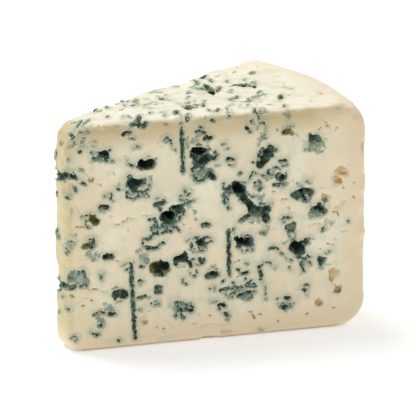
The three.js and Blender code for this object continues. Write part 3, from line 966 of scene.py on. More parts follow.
# %% Chips, needle tracks and all the strokes
torn_top = [
    (2.6, (35.8, 22), (36.6, 21)), (2.4, (49.2, 29.8), (50, 28.6)),
    (3.4, (91.2, 56.4), (92.2, 54.6)),
]
torn_tip = [(3.0, (8, 75.4), (11.4, 76)), (3.6, (8, 28), (11.4, 27.4))]
torn_front = [(3.0, (78, -0.8), (81, 0), (85, -0.4)), (1.7, (86, 2.2), (89.4, 2.6))]
top_deep = [
    (2.0, (74.2, 11.4), (74.6, 13.6)), (1.6, (89.6, 30.6), (90, 33)),
    (2.0, (105.6, 34.6), (107.6, 34.4)),
]
clean_top = [
    (4.6, (33.4, 21), (35, 22)), (3.0, (30.6, 19.2), (32, 20)),
    (4.4, (46.6, 29), (48.6, 30.2)),
    (7.4, (87.6, 54.8), (90, 56.2)), (5.0, (83, 52), (86, 53.8)),
]
front_tracks = [((68.5, 93.6), (69, 75)), ((46.7, 37), (48.3, 4)), ((88.3, 47.6), (88.9, 28))]
back_tracks = [((53, 84), (53.6, 48)), ((89, 33), (89.4, 8)), ((108, 88), (108.5, 61))]
track_width = 1.6
top_width_share = 0.76

faces = (
    (on_front, OUT_FRONT, front_gaps, front_mould, front_haze, front_olive, front_bare,
     front_clean + torn_front, front_deep),
    (on_top, OUT_TOP, top_gaps + torn_top, top_mould, top_haze, [], top_bare, clean_top, top_deep),
    (on_tip, OUT_TIP, tip_gaps + torn_tip, tip_mould, tip_haze),
    (on_back, OUT_BACK, back_gaps, back_mould, back_haze, [], [], [], back_gaps[::3]),
    (on_base, -OUT_TOP, base_gaps, base_mould, base_haze),
)
KINDS = ("gap", "mould", "haze", "olive", "bare", "clean", "deep", "track")
strokes = {kind: [] for kind in KINDS}
for place, outward, *lists in faces:
    share = top_width_share if place is on_top else 1.0
    for kind, marks in zip(KINDS, lists):
        strokes[kind] += [
            (width * share, [place(*spot) for spot in route], outward) for width, *route in marks]
for width, *route in rind_bare:
    spots = [on_rind(*spot) for spot in route]
    strokes["bare"].append((width, spots, (spots[0] - wheel_centre).to_2d().to_3d().normalized()))
for place, outward, tracks in ((on_front, OUT_FRONT, front_tracks), (on_back, OUT_BACK, back_tracks)):
    strokes["track"] += [(track_width, [place(*end) for end in ends], outward) for ends in tracks]
print({kind: len(found) for kind, found in strokes.items()})

# %% [markdown]
# # Opening the gaps
# A gap between curds is a crooked hollow with steep walls, and most of its darkness is real depth, so
# it is cut out, and painted shade is added only along its crevices and deeper down its walls. One lump
# is modelled, a small cube, because curd breaks with corners.
# Copies of it are strung along the line of every gap that is wide enough, and likewise along the deep
# marks, the bare pits and the clean chips. Each kind is merged into uneven masses by a remesh,
# roughened, and then taken away from the block as a boolean.

# %% One lump, copied along every gap
lump_spacing = 0.5
lump_size = 0.86
most_tilt = 0.5
bpy.ops.object.select_all(action="DESELECT")
bpy.ops.mesh.primitive_cube_add(size=lump_size, location=(0, 0, 0))
lump = bpy.context.object
lump.name = "lump"


def sideways(outward):
    """Two directions that span a face, for the way it looks"""
    first = outward.cross(Vector((0.31, 0.17, 0.93))).normalized()
    return first, outward.cross(first)


def along_route(route, step):
    """Places at an even step along a line, its ends among them"""
    for start, end in zip(route[:-1], route[1:]):
        count = max(1, math.ceil((end - start).length / step))
        for index in range(count):
            yield start.lerp(end, index / count)
    yield route[-1]


smooth_block = BVHTree.FromObject(cheese, bpy.context.evaluated_depsgraph_get())


def strung(kind, narrowest, shallowest, rise):
    """Lumps along every mark of a kind, each turned its own way, as one object

    Marks thinner than the narrowest are left out. A lump is as deep as the shallowest and a rise for
    each millimetre of the mark's width.
    """
    chance = random.Random(7)
    copies = []
    for width, route, outward in strokes[kind]:
        if width < narrowest:
            continue
        across, over = sideways(outward)
        sizes = Matrix((across * width, over * width, outward * 2 * (shallowest + rise * width)))
        for place in along_route(route, width * lump_spacing):
            turn = Matrix.Rotation(chance.uniform(0, math.pi), 3, outward)
            tilt = Matrix.Rotation(chance.uniform(-most_tilt, most_tilt), 3, across)
            shape = (tilt @ turn @ sizes.transposed()).to_4x4()
            copy = bpy.data.objects.new(kind, lump.data.copy())
            copy.data.transform(Matrix.Translation(placed(place)) @ Matrix.Scale(MM, 4) @ shape)
            bpy.context.scene.collection.objects.link(copy)
            copies.append(copy)
    bpy.ops.object.select_all(action="DESELECT")
    for copy in copies:
        copy.select_set(True)
    bpy.context.view_layer.objects.active = copies[0]
    bpy.ops.object.join()
    print(kind, "lumps:", len(copies))
    return bpy.context.object


gaps = strung("gap", narrowest=1.3, shallowest=0.8, rise=0.48)
deeper = strung("deep", narrowest=1.2, shallowest=2.0, rise=2.0)
pits = strung("bare", narrowest=1.2, shallowest=0.3, rise=0.55)
slumps = strung("clean", narrowest=1.2, shallowest=0.8, rise=0.3)
bpy.data.objects.remove(lump)


# %% Merging and roughening them
def clouds(name, size, depth=2, contrast=1.0):
    """A cloudy texture with lumps of a size in millimetres"""
    texture = bpy.data.textures.new(name, "CLOUDS")
    texture.noise_scale = size * MM
    texture.noise_depth = depth
    texture.contrast = contrast
    return texture


def push(piece, texture, strength, mid_level, **settings):
    """Displace a piece by a cloudy amount, its strength in millimetres"""
    finish_with(
        piece, "DISPLACE", texture=texture, texture_coords="LOCAL", strength=strength * MM,
        mid_level=mid_level, **settings)


hole_skin = 0.42
corner_strength = 3.6
crumb_strength = 1.1
holes = []
for hole, roughness in ((gaps, 0.85), (deeper, 0.5), (pits, 0.7), (slumps, 0.4)):
    finish_with(hole, "REMESH", mode="VOXEL", voxel_size=hole_skin * MM)
    push(hole, clouds("curd_corners", 2.8, 1, 2.4), corner_strength * roughness, 0.5)
    push(hole, clouds("curd_crumbs", 1.3, 1, 2.0), crumb_strength * roughness, 0.5)
    hole_faces = finish_with(hole, "REMESH", mode="VOXEL", voxel_size=hole_skin * MM)
    print("faces of", hole.name, hole_faces)
    holes.append(hole)

# %% [markdown]
# A needle leaves a round hole. Each cut laid three of them open, nearly upright, so a track is a
# cylinder sunk a little more than half its width into the face. A bevel rounds its ends, and crumbs
# of curd have made its wall uneven.

# %% Needle tracks
sunk_share = 0.12
track_roughness = 1.5
tracks = []
for width, (upper, lower), outward in strokes["track"]:
    run = upper - lower
    centre = (upper + lower) / 2 - outward * width * sunk_share
    bpy.ops.object.select_all(action="DESELECT")
    bpy.ops.mesh.primitive_cylinder_add(
        vertices=20, radius=width / 2 * MM, depth=run.length * MM, location=placed(centre),
        rotation=run.to_track_quat("Z", "Y").to_euler())
    bpy.ops.object.transform_apply(location=True, rotation=True, scale=True)
    track = bpy.context.object
    track.name = "track"
    finish_with(track, "BEVEL", width=0.5 * MM, segments=2, limit_method="ANGLE")
    finish_with(track, "REMESH", mode="VOXEL", voxel_size=hole_skin * MM)
    push(track, clouds("track_wall", 1.9, 2, 2.0), track_roughness, 0.55)
    tracks.append(track)
print("tracks:", len(tracks))

# %% Taking the gaps and tracks from the block
fine_skin = 0.45
for hole in (*holes, *tracks):
    finish_with(cheese, "BOOLEAN", operation="DIFFERENCE", object=hole, solver="MANIFOLD")
    bpy.data.objects.remove(hole)
faces_made = finish_with(cheese, "REMESH", mode="VOXEL", voxel_size=fine_skin * MM)
print("faces of the carved cheese:", faces_made)

# %% [markdown]
# # The fine relief
# Marks too thin to cut out are still below the surface, because mould needs air. To press them in,
# each vertex needs to know how far inside a mark it lies. `inside` measures that for one kind of
# mark: above zero inside a stroke, below zero outside it, in millimetres. Depth into the face counts
# for less than distance along it, so that a mark lines the hollow behind it. Nothing is measured
# beyond `far_outside`.

# %% How far inside a mark each place is
far_outside = -3.0
depth_share = 0.3
reach_below = 6


def places_of(piece):
    """Every vertex's place in the knife's frame, as one array"""
    flat = np.empty(len(piece.data.vertices) * 3, dtype=np.float32)
    piece.data.vertices.foreach_get("co", flat)
    return flat.reshape(-1, 3) / MM - np.array(knife_origin, dtype=np.float32)


def inside(places, kind, narrowest=0.0, widest=100.0):
    """How far inside the marks of a kind, between two widths, each place is"""
    result = np.full(len(places), far_outside, dtype=np.float32)
    for width, route, outward in strokes[kind]:
        if not narrowest <= width <= widest:
            continue
        points = np.array([tuple(point) for point in route], dtype=np.float32)
        normal = np.array(outward, dtype=np.float32)
        margin = width / 2 - far_outside + reach_below * np.abs(normal)
        near = np.flatnonzero(np.all(
            (places > points.min(0) - margin) & (places < points.max(0) + margin), axis=1))
        if not len(near):
            continue
        for start, end in zip(points[:-1], points[1:]):
            line = end - start
            offset = places[near] - start
            share = np.clip(offset @ line / max(float(line @ line), 1e-6), 0, 1)
            offset -= share[:, None] * line
            offset -= (1 - depth_share) * (offset @ normal)[:, None] * normal
            found = width / 2 - np.sqrt((offset**2).sum(1))
            result[near] = np.maximum(result[near], found)
    return result


def ramp(values, start, end):
    """0 at start, 1 at end and smooth between"""
    share = np.clip((values - start) / (end - start), 0, 1)
    return share * share * (3 - 2 * share)


def from_axis(places):
    """How far each place is from the wheel's upright middle line"""
    return np.hypot(places[:, 0] - wheel_centre.x, places[:, 1] - wheel_centre.y)


def depths(places):
    """How far each place is below the cut planes, and below the wheel's own skin"""
    below_cuts = [(np.array(point, dtype=np.float32) - places) @ np.array(outward, dtype=np.float32)
                  for point, outward in cuts]
    skin_out = np.maximum(from_axis(places) - (wheel_radius - top_shoulder), 0)
    skin_up = np.maximum(places[:, 2] - (wheel_height - top_shoulder), 0)
    skin_down = np.maximum(base_shoulder - places[:, 2], 0)
    below_skin = np.minimum(
        top_shoulder - np.hypot(skin_out, skin_up), base_shoulder - np.hypot(skin_out, skin_down))
    return below_cuts, below_skin


def edge_closeness(places, start, end):
    """1 along the edges where two faces meet, fading to 0 at start millimetres in from them"""
    below_cuts, below_skin = depths(places)
    nearest = np.sort(np.stack([*below_cuts, below_skin]), axis=0)
    return ramp(nearest[1], start, end)


places = places_of(cheese)
in_mould = inside(places, "mould")
in_gap = inside(places, "gap")
in_haze = inside(places, "haze")
in_bare = inside(places, "bare")
print("vertices in mould:", int((in_mould > 0).sum()), "of", len(places))

# %% [markdown]
# A vertex group holds how strongly a modifier acts at each vertex. Displace raises a low rim around
# each mark, and then pushes vertices in along their normals: evenly in a thin gap, and by a cloudy
# amount in mould, which breaks its floor into crumbs. Last, the surface gets the unevenness of
# pressed curd, most of all along the edges. That fades towards the base, which the wheel's weight
# flattened.


# %% Pressing the marks in
def weigh(piece, name, weights):
    """A vertex group with these weights, without the vertices that hardly weigh anything"""
    least_weight = 0.02
    vertex_group = piece.vertex_groups.new(name=name)
    for index in np.flatnonzero(weights > least_weight):
        vertex_group.add([int(index)], float(weights[index]), "REPLACE")


above_base = ramp(places[:, 2], 0.4, 2.5)
in_track = inside(places, "track")
lining = np.maximum(np.maximum(in_mould, in_gap + 0.2), in_track + 0.1)
in_crease = 0.5 * ramp(inside(places, "clean", 0, 1), -0.3, 0.3)
in_crack = np.maximum(0.8 * ramp(in_bare, -0.3, 0.3), in_crease)
weigh(cheese, "thin", np.maximum(ramp(in_gap, -0.35, 0.35), in_crack) * above_base)
weigh(cheese, "rim", ramp(lining, -1.3, -0.5) * ramp(lining, 0.0, -0.4) * above_base)
hazy = 0.4 * ramp(in_haze, -0.8, 0.4)
mouldy = np.maximum(ramp(lining, -0.6, 0.3), hazy) * ramp(in_gap, 0.7, 0.1)
weigh(cheese, "mouldy", mouldy * above_base)
near_edge = np.maximum(edge_closeness(places, 5.0, 1.5), 0.2)
weigh(cheese, "curd", near_edge * ramp(places[:, 2], 2, 30))
rim_height = 0.5
thin_depth = 0.8
mould_depth = 2.0
curd_swell = 2.0
finish_with(cheese, "DISPLACE", vertex_group="rim", strength=rim_height * MM, mid_level=0)
finish_with(cheese, "DISPLACE", vertex_group="thin", strength=-thin_depth * MM, mid_level=0)
push(cheese, clouds("mould_floor", 1.2), -mould_depth, 0.34, vertex_group="mouldy")
push(cheese, clouds("curd_swell", 8, 1, 1.5), curd_swell, 0.72, vertex_group="curd")
print("size:", [round(v, 4) for v in cheese.dimensions])

# %% [markdown]
# The even skin has far more faces than a flat cut needs. Decimate spends them where they matter: the
# group says which vertices to keep, those in and around marks.

# %% Thinning the flats
most_triangles = 190000
in_marks = ramp(np.maximum(lining, in_bare), -1.2, -0.3)
weigh(cheese, "keep", np.maximum(0.6 * in_marks, 0.5 * edge_closeness(places, 13.0, 9.0)))
triangles = 2 * len(cheese.data.polygons)
finish_with(
    cheese, "DECIMATE", ratio=most_triangles / triangles, use_collapse_triangulate=True,
    vertex_group="keep", invert_vertex_group=True, vertex_group_factor=2.0)
cheese.vertex_groups.clear()
only(cheese)
bpy.ops.object.shade_smooth()
print("triangles:", triangles, "then", len(cheese.data.polygons))

# %% [markdown]
# # What the surface shaders need to know
# Each kind of mark that has its own colour becomes an attribute: a number at every vertex that a
# material can read. The thinnest gaps and cracks get one each too. Besides them there are four
# depths, in millimetres: in from the wheel's own skin, where the cheese is drier and warmer in colour
# and a band of painted shade runs under the top's ridge, in from the rind side alone, near which the
# skin is painted warmer as bounce light, in from the tip, which gets painted shade, and below the
# block's smooth outside, which also sets the painted shade of the hollows.

# %% Attributes
def attribute(piece, name, values):
    layer = piece.data.attributes.new(name=name, type="FLOAT", domain="POINT")
    layer.data.foreach_set("value", values.astype(np.float32))
    print(name, "from", round(float(values.min()), 2), "to", round(float(values.max()), 2))


places = places_of(cheese)
widest_thin_gap = 1.7
widest_crack = 1.1
for kind in KINDS:
    if kind != "deep":
        attribute(cheese, kind, inside(places, kind))
below_cuts, below_skin = depths(places)
attribute(cheese, "thin_gap", inside(places, "gap", 0, widest_thin_gap))
attribute(cheese, "crack", inside(places, "bare", 0, widest_crack))
attribute(cheese, "skin", below_skin)
attribute(cheese, "rind", wheel_radius - from_axis(places))
attribute(cheese, "tip", below_cuts[2])
depth_below = [smooth_block.find_nearest(vertex.co)[3] / MM for vertex in cheese.data.vertices]
attribute(cheese, "hollow", np.array(depth_below))

# %% [markdown]
# # The finish
# Three effects are made as node groups, so that each can be read and tuned by itself: the paste's
# colour with its painted shade and light, the mould with its haze and the painted shade of the
# hollows, and the bare pits with their painted shade. Each puts out a colour, and the mould also a
# mask, because it is duller than the paste. The shader itself stays in the material.


# %% Helpers for nodes
def group(name, inputs, outputs):
    """A new node group with named sockets, its inputs as sources and its outputs as targets"""
    tree = bpy.data.node_groups.new(name, "ShaderNodeTree")
    for label, kind, default in inputs:
        socket = tree.interface.new_socket(label, in_out="INPUT", socket_type=kind)
        if default is not None:
            socket.default_value = default
    for label, kind in outputs:
        tree.interface.new_socket(label, in_out="OUTPUT", socket_type=kind)
    return tree, tree.nodes.new("NodeGroupInput").outputs, tree.nodes.new("NodeGroupOutput").inputs


def feed(tree, socket, value):
    """Link another node's socket to this one, or set a plain value on it"""
    if isinstance(value, bpy.types.NodeSocket):
        tree.links.new(value, socket)
    else:
        socket.default_value = value


def sums(tree, operation, *values):
    """A Math node and what comes out of it"""
    node = tree.nodes.new("ShaderNodeMath")
    node.operation = operation
    for socket, value in zip(node.inputs, values):
        feed(tree, socket, value)
    return node.outputs[0]


def plus(tree, first, second):
    return sums(tree, "ADD", first, second)


def minus(tree, first, second):
    return sums(tree, "SUBTRACT", first, second)


def times(tree, first, second):
    return sums(tree, "MULTIPLY", first, second)


def larger(tree, first, second):
    return sums(tree, "MAXIMUM", first, second)


def step_between(tree, value, start, end):
    """0 at start, 1 at end and smooth between"""
    node = tree.nodes.new("ShaderNodeMapRange")
    node.interpolation_type = "SMOOTHSTEP"
    for socket, given in zip(node.inputs, (value, start, end, 0.0, 1.0)):
        feed(tree, socket, given)
    return node.outputs[0]


def blend_colour(tree, share, first, second, how="MIX"):
    """A share of the second colour over the first; a Mix node's colour sockets are 6 and 7"""
    node = tree.nodes.new("ShaderNodeMix")
    node.data_type = "RGBA"
    node.blend_type = how
    feed(tree, node.inputs[0], share)
    feed(tree, node.inputs[6], first)
    feed(tree, node.inputs[7], second)
    return node.outputs[2]


def cloud(tree, place, size, detail=2.0, stretch=None):
    """Noise from 0 to 1 with lumps of a size in millimetres, longer along an axis if stretched"""
    node = tree.nodes.new("ShaderNodeTexNoise")
    node.inputs["Scale"].default_value = 1 / (size * MM)
    node.inputs["Detail"].default_value = detail
    if stretch:
        mapping = tree.nodes.new("ShaderNodeMapping")
        mapping.inputs["Scale"].default_value = stretch
        feed(tree, mapping.inputs["Vector"], place)
        place = mapping.outputs[0]
    feed(tree, node.inputs["Vector"], place)
    return node.outputs[0]


def rgb(red, green, blue):
    """A colour as eyes name it, from 0 to 255, as the linear values that a shader takes"""
    shares = [value / 255 for value in (red, green, blue)]
    linear = [share / 12.92 if share <= 0.04 else ((share + 0.055) / 1.055) ** 2.4 for share in shares]
    return (*linear, 1.0)


print("cream is", [round(v, 3) for v in rgb(238, 230, 205)])

# %% [markdown]
# The paste is cream, with greener patches and warmer towards the wheel's skin, where it has dried. A
# painted shade darkens and yellows the blunt tip and the cheese near it. Under the skin lies a band:
# painted shade, darkest, along the top's front ridge, and a paler warm tone lower down and by the
# rind. The skin itself is paler on top; down the side and by the rind it is painted warmer, as painted
# bounce light. A thin dark brown painted shadow lines the foot at the base. Wire and handling leave
# faint upright smears on a cut. Each reach below says between which depths, in millimetres, a colour
# comes in.

# %% Paste colour
PASTE = rgb(242, 238, 214)
PASTE_WARM = rgb(238, 226, 197)
PASTE_COOL = rgb(216, 217, 190)
# Painted shade of the band under the top's front ridge.
UNDER_RIDGE_SHADE = rgb(210, 191, 144)
UNDER_SIDE = rgb(236, 218, 184)
# Painted shade of the blunt tip.
TIP_SHADE = rgb(216, 201, 154)
SKIN = rgb(241, 236, 216)
# Painted bounce light: the skin's warmer colours down the side and by the rind.
SIDE_SKIN_PAINTED_LIGHT = rgb(241, 228, 200)
RIND_SKIN_PAINTED_LIGHT = rgb(244, 229, 200)
# Painted shadow along the foot of the cheese.
BASE_EDGE_SHADOW = rgb(146, 112, 66)
SMEAR_TINT = (0.93, 0.93, 0.92, 1)

dry_reach = (32.0, 8.0)
blunt_tip_reach = (3.4, 0.4)
tip_reach = (18.0, 2.0)
rind_reach = (30.0, 6.0)
under_skin_reach = (15.0, 5.0)
skin_reach = (2.6, 0.8)
patch_strength = 70.0

paste, given, result = group(
    "paste_colour",
    [("Place", "NodeSocketVector", None), ("Below skin", "NodeSocketFloat", 10.0),
     ("From rind", "NodeSocketFloat", 50.0), ("From tip", "NodeSocketFloat", 50.0)],
    [("Colour", "NodeSocketColor")])
place = given["Place"]
patches = times(paste, minus(paste, cloud(paste, place, 16, 2), 0.5), patch_strength)
drying = plus(paste, given["Below skin"], patches)
dried = step_between(paste, drying, *dry_reach)
colour = blend_colour(paste, dried, PASTE, PASTE_WARM)
cool = step_between(paste, cloud(paste, place, 5, 3), 0.45, 0.65)
cool_share = times(paste, cool, minus(paste, 0.75, times(paste, dried, 0.5)))
colour = blend_colour(paste, cool_share, colour, PASTE_COOL)
# Painted shade: the blunt tip's face and the cheese near it are darkened and yellowed.
on_tip_face = times(paste, step_between(paste, given["From tip"], *blunt_tip_reach), 0.5)
near_tip = times(paste, step_between(paste, given["From tip"], *tip_reach), 0.42)
tip_shade_share = plus(paste, on_tip_face, near_tip)
colour = blend_colour(paste, tip_shade_share, colour, TIP_SHADE)
smears = cloud(paste, place, 2.2, 2, (1, 1, 0.06))
smear_colour = blend_colour(paste, 1.0, colour, SMEAR_TINT, "MULTIPLY")
smear_share = times(paste, step_between(paste, smears, 0.5, 0.7), 0.5)
colour = blend_colour(paste, smear_share, colour, smear_colour)
wavy = plus(paste, given["Below skin"], times(paste, cloud(paste, place, 5, 1), 2.0))
apart = paste.nodes.new("ShaderNodeSeparateXYZ")
feed(paste, apart.inputs[0], place)
height_up = apart.outputs[2]
low_down = step_between(paste, height_up, high.z - 11 * MM, high.z - 24 * MM)
near_rind = times(paste, step_between(paste, given["From rind"], *rind_reach), 0.8)
# The band under the skin: painted shade along the top's front ridge, a paler warm tone lower down and
# by the rind.
under = blend_colour(paste, larger(paste, low_down, near_rind), UNDER_RIDGE_SHADE, UNDER_SIDE)
under_share = times(paste, step_between(paste, wavy, *under_skin_reach), 0.92)
colour = blend_colour(paste, under_share, colour, under)
# Painted light: the skin is warmer down the side and by the rind, standing in for light bounced onto
# the shoulder.
on_side = step_between(paste, height_up, high.z - 2 * MM, high.z - 10 * MM)
skin = blend_colour(paste, on_side, SKIN, SIDE_SKIN_PAINTED_LIGHT)
skin = blend_colour(paste, near_rind, skin, RIND_SKIN_PAINTED_LIGHT)
colour = blend_colour(paste, step_between(paste, wavy, *skin_reach), colour, skin)
# Painted shadow: a thin dark brown line along the foot, where the base meets the floor.
at_base = step_between(paste, height_up, low.z + 1.5 * MM, low.z + 0.3 * MM)
colour = blend_colour(paste, times(paste, at_base, 0.85), colour, BASE_EDGE_SHADOW)
paste.links.new(colour, result["Colour"])
print("paste nodes:", len(paste.nodes))

# %% [markdown]
# Mould is soft and patchy: blue-green as it thins, and a grey bloom at its edge, with paler floury
# patches inside a dark outline; deep in a hollow a painted shade makes it nearly black. The strokes
# only say where it grows. Noise at two sizes eats into their outlines, so that no edge follows a smooth
# stroke. A bare pit or a clean chip is hollow too, so the painted shade that comes from depth keeps
# out of those.

# %% Mould
# Black of the painted shade in crevices and deep hollows, with the dark mould in crevices.
MOULD_AND_SHADE_BLACK = rgb(18, 30, 20)
MOULD_DARK = rgb(48, 74, 64)
MOULD_MID = rgb(98, 126, 110)
MOULD_TRACK = rgb(32, 54, 50)
MOULD_EDGE = rgb(30, 50, 42)
MOULD_PALE = rgb(156, 176, 156)
MOULD_FLOOR = rgb(118, 142, 126)
HAZE = rgb(194, 200, 176)
CRUMB = rgb(178, 190, 168)
OLIVE = rgb(142, 128, 50)

mould, given, result = group(
    "mould_and_hollow_shade",
    [("Place", "NodeSocketVector", None),
     *((kind, "NodeSocketFloat", far_outside) for kind in (
         "Mould", "Gap", "Track", "Haze", "Olive", "Bare", "Clean", "Thin gap")),
     ("Hollow", "NodeSocketFloat", 0.0), ("Paste", "NodeSocketColor", PASTE)],
    [("Colour", "NodeSocketColor"), ("Mask", "NodeSocketFloat")])
place = given["Place"]
coarse = minus(mould, cloud(mould, place, 1.9, 3), 0.5)
fine = minus(mould, cloud(mould, place, 0.75, 2), 0.5)


def ragged_mask(distance, start, end, rough, crumbly, share=None):
    """A mask that noise at two sizes eats into, in millimetres, at most a share"""
    uneven = plus(mould, times(mould, coarse, rough), times(mould, fine, crumbly))
    mask = step_between(mould, plus(mould, distance, uneven), start, end)
    return mask if share is None else times(mould, mask, share)


print("mould inputs:", len(given), "and nodes so far:", len(mould.nodes))

# %% [markdown]
# Outside the mould itself the paste is stained in three steps: a wide pale halo, then the haze of
# young mould, and a narrow fringe right at its edge. `lined` is how far inside any mould a place is,
# more so where the surface is sunk.

# %% Halo, haze and fringe
lined = larger(mould, given["Mould"], plus(mould, given["Gap"], 0.2))
lined = larger(mould, lined, plus(mould, given["Track"], -0.15))
sunk = step_between(mould, given["Hollow"], 0.0, 0.8)
lined = plus(mould, lined, minus(mould, times(mould, sunk, 0.6), 0.3))
halo = ragged_mask(lined, -2.9, -0.2, rough=2.5, crumbly=0.5, share=0.62)
colour = blend_colour(mould, halo, given["Paste"], HAZE)
haze_mask = ragged_mask(given["Haze"], -0.8, 0.8, rough=4.0, crumbly=1.2, share=0.8)
mottled = step_between(mould, plus(mould, coarse, fine), -0.12, 0.14)
mottled_colour = blend_colour(mould, mottled, MOULD_PALE, MOULD_MID)
colour = blend_colour(mould, haze_mask, colour, mottled_colour)
fringe = ragged_mask(lined, -0.45, 0.0, rough=3.4, crumbly=0.8, share=0.45)
colour = blend_colour(mould, fringe, colour, mottled_colour)
print("with haze:", len(mould.nodes))

# %% [markdown]
# Mould on the cut is mid to dark green by a noise of its own, floury in the middle of a patch and
# nearly black along its outline. Further down a hollow its walls and floor are grey-green, mottled by
# noise, and painted shade darkens them with depth.

# %% Mould on the cut and in the hollows
mould_mask = ragged_mask(lined, 0.1, 0.3, rough=2.6, crumbly=1.7)
tone = plus(mould, cloud(mould, place, 1.3, 3), times(mould, lined, 0.06))
mould_colour = blend_colour(mould, step_between(mould, tone, 0.42, 0.56), MOULD_MID, MOULD_DARK)
inner = plus(mould, lined, times(mould, coarse, 2.4))
floury = blend_colour(mould, mottled, CRUMB, MOULD_MID)
mould_colour = blend_colour(mould, step_between(mould, inner, 0.55, 0.95), mould_colour, floury)
outline = times(mould, step_between(mould, inner, 0.5, 0.3), 0.75)
mould_colour = blend_colour(mould, outline, mould_colour, MOULD_EDGE)
colour = blend_colour(mould, mould_mask, colour, mould_colour)
not_bare = step_between(mould, larger(mould, given["Bare"], given["Clean"]), -0.9, -2.0)
below = times(mould, step_between(mould, given["Hollow"], 0.8, 1.7), not_bare)
# Painted shade: the lining of a hollow turns dark green with depth, broken up by noise.
floor_depth = plus(mould, given["Hollow"], times(mould, coarse, 3.0))
floor_depth = plus(mould, floor_depth, times(mould, fine, -4.0))
broad = cloud(mould, place, 2.8, 1)
floor_tone = blend_colour(mould, step_between(mould, broad, 0.46, 0.6), MOULD_FLOOR, MOULD_PALE)
lining_and_depth_shade = blend_colour(mould, step_between(mould, floor_depth, 1.5, 4.2), floor_tone, MOULD_DARK)
colour = blend_colour(mould, below, colour, lining_and_depth_shade)
print("with hollows:", len(mould.nodes))

# %% [markdown]
# The darkest parts come last: painted shade along crevices and the thinnest gaps, which dark mould
# lines too, and painted shade at the bottoms of the deepest hollows. A needle's track is streaky along
# its length, and olive spots are damp, with painted shade darkening them deeper in a hollow.

# %% Crevices, tracks and olive spots
# Painted shade with dark mould: black along the crevices at a gap's edge and in the thinnest gaps.
crevice = ragged_mask(given["Gap"], -0.05, 0.2, rough=1.2, crumbly=1.4, share=0.45)
crevice = times(mould, crevice, step_between(mould, given["Gap"], 0.9, 0.4))
thin = ragged_mask(given["Thin gap"], -0.05, 0.15, rough=1.2, crumbly=1.4, share=0.9)
colour = blend_colour(mould, larger(mould, crevice, thin), colour, MOULD_AND_SHADE_BLACK)
# Painted shade: black at the bottoms of the deepest hollows.
deep = times(mould, step_between(mould, given["Hollow"], 3.8, 6.0), not_bare)
colour = blend_colour(mould, deep, colour, MOULD_AND_SHADE_BLACK)
streaks = cloud(mould, place, 1.0, 2, (1, 1, 0.4))
streaks = plus(mould, streaks, times(mould, given["Track"], 0.16))
track_colour = blend_colour(mould, step_between(mould, streaks, 0.5, 0.66), MOULD_TRACK, MOULD_MID)
track_mask = ragged_mask(given["Track"], -0.1, 0.15, rough=1.8, crumbly=1.4, share=0.92)
colour = blend_colour(mould, track_mask, colour, track_colour)
olive_mask = ragged_mask(given["Olive"], -0.3, 0.3, rough=2.6, crumbly=1.5, share=0.8)
# Olive turns dark green by noise, and painted shade darkens it further deeper in a hollow.
olive_noise_and_depth_shade = plus(mould, cloud(mould, place, 2.0, 2), times(mould, given["Hollow"], 0.03))
olive_tone = blend_colour(mould, step_between(mould, olive_noise_and_depth_shade, 0.5, 0.66), OLIVE, MOULD_DARK)
colour = blend_colour(mould, olive_mask, colour, olive_tone)
mould.links.new(colour, result["Colour"])
anywhere = larger(mould, larger(mould, mould_mask, below), haze_mask)
mould.links.new(anywhere, result["Mask"])
print("mould nodes:", len(mould.nodes))

# %% [markdown]
# Where a curd fell out and no mould took hold, the pit dries to tan, with a few orange spots, and
# painted shade darkens it deeper in the pit. The hairline cracks are coloured a darker brown.

# %% Bare pits
TAN = rgb(246, 232, 202)
# Painted shade of the tan deeper in a pit.
TAN_DEEP_SHADE = rgb(238, 216, 176)
ORANGE = rgb(220, 170, 80)
CRACK = rgb(176, 130, 40)

bare, given, result = group(
    "bare_pits",
    [("Place", "NodeSocketVector", None), ("Bare", "NodeSocketFloat", far_outside),
     ("Crack", "NodeSocketFloat", far_outside), ("Hollow", "NodeSocketFloat", 0.0),
     ("Under", "NodeSocketColor", PASTE)],
    [("Colour", "NodeSocketColor")])
edge = minus(bare, cloud(bare, given["Place"], 0.9, 2), 0.5)
close = plus(bare, given["Bare"], times(bare, edge, 1.2))
mask = times(bare, step_between(bare, close, -0.05, 0.15), 0.85)
in_hollow = step_between(bare, given["Hollow"], 0.3, 0.9)
pit = times(bare, in_hollow, step_between(bare, close, -2.2, -1.0))
# Painted shade: the tan darkens deeper in a pit.
tan = blend_colour(bare, step_between(bare, given["Hollow"], 1.0, 2.8), TAN, TAN_DEEP_SHADE)
spots = step_between(bare, cloud(bare, given["Place"], 2.4, 1), 0.57, 0.64)
tan = blend_colour(bare, times(bare, spots, 0.9), tan, ORANGE)
colour = blend_colour(bare, larger(bare, mask, pit), given["Under"], tan)
cracked = plus(bare, given["Crack"], times(bare, edge, 0.9))
crack_mask = times(bare, step_between(bare, cracked, -0.06, 0.1), 0.9)
colour = blend_colour(bare, crack_mask, colour, CRACK)
bare.links.new(colour, result["Colour"])
print("bare nodes:", len(bare.nodes))

# %% [markdown]
# Cheese glows a little, because light enters it and comes out nearby, so the shader scatters light
# beneath the surface by about a millimetre. The paste is moist and has a soft shine, and mould is
# dry. One bump finishes it, from two heights added up: the grain of the curd and the upright drag of
# the wire.

# %% Material
finish = bpy.data.materials.new("blue_cheese")
finish.use_nodes = True
tree = finish.node_tree
shader = tree.nodes["Principled BSDF"]
place = tree.nodes.new("ShaderNodeTexCoord").outputs["Object"]


def read(name):
    node = tree.nodes.new("ShaderNodeAttribute")
    node.attribute_name = name
    return node.outputs["Fac"]


def place_group(node_tree, **values):
    node = tree.nodes.new("ShaderNodeGroup")
    node.node_tree = node_tree
    for label, value in values.items():
        feed(tree, node.inputs[label.replace("_", " ")], value)
    return node.outputs


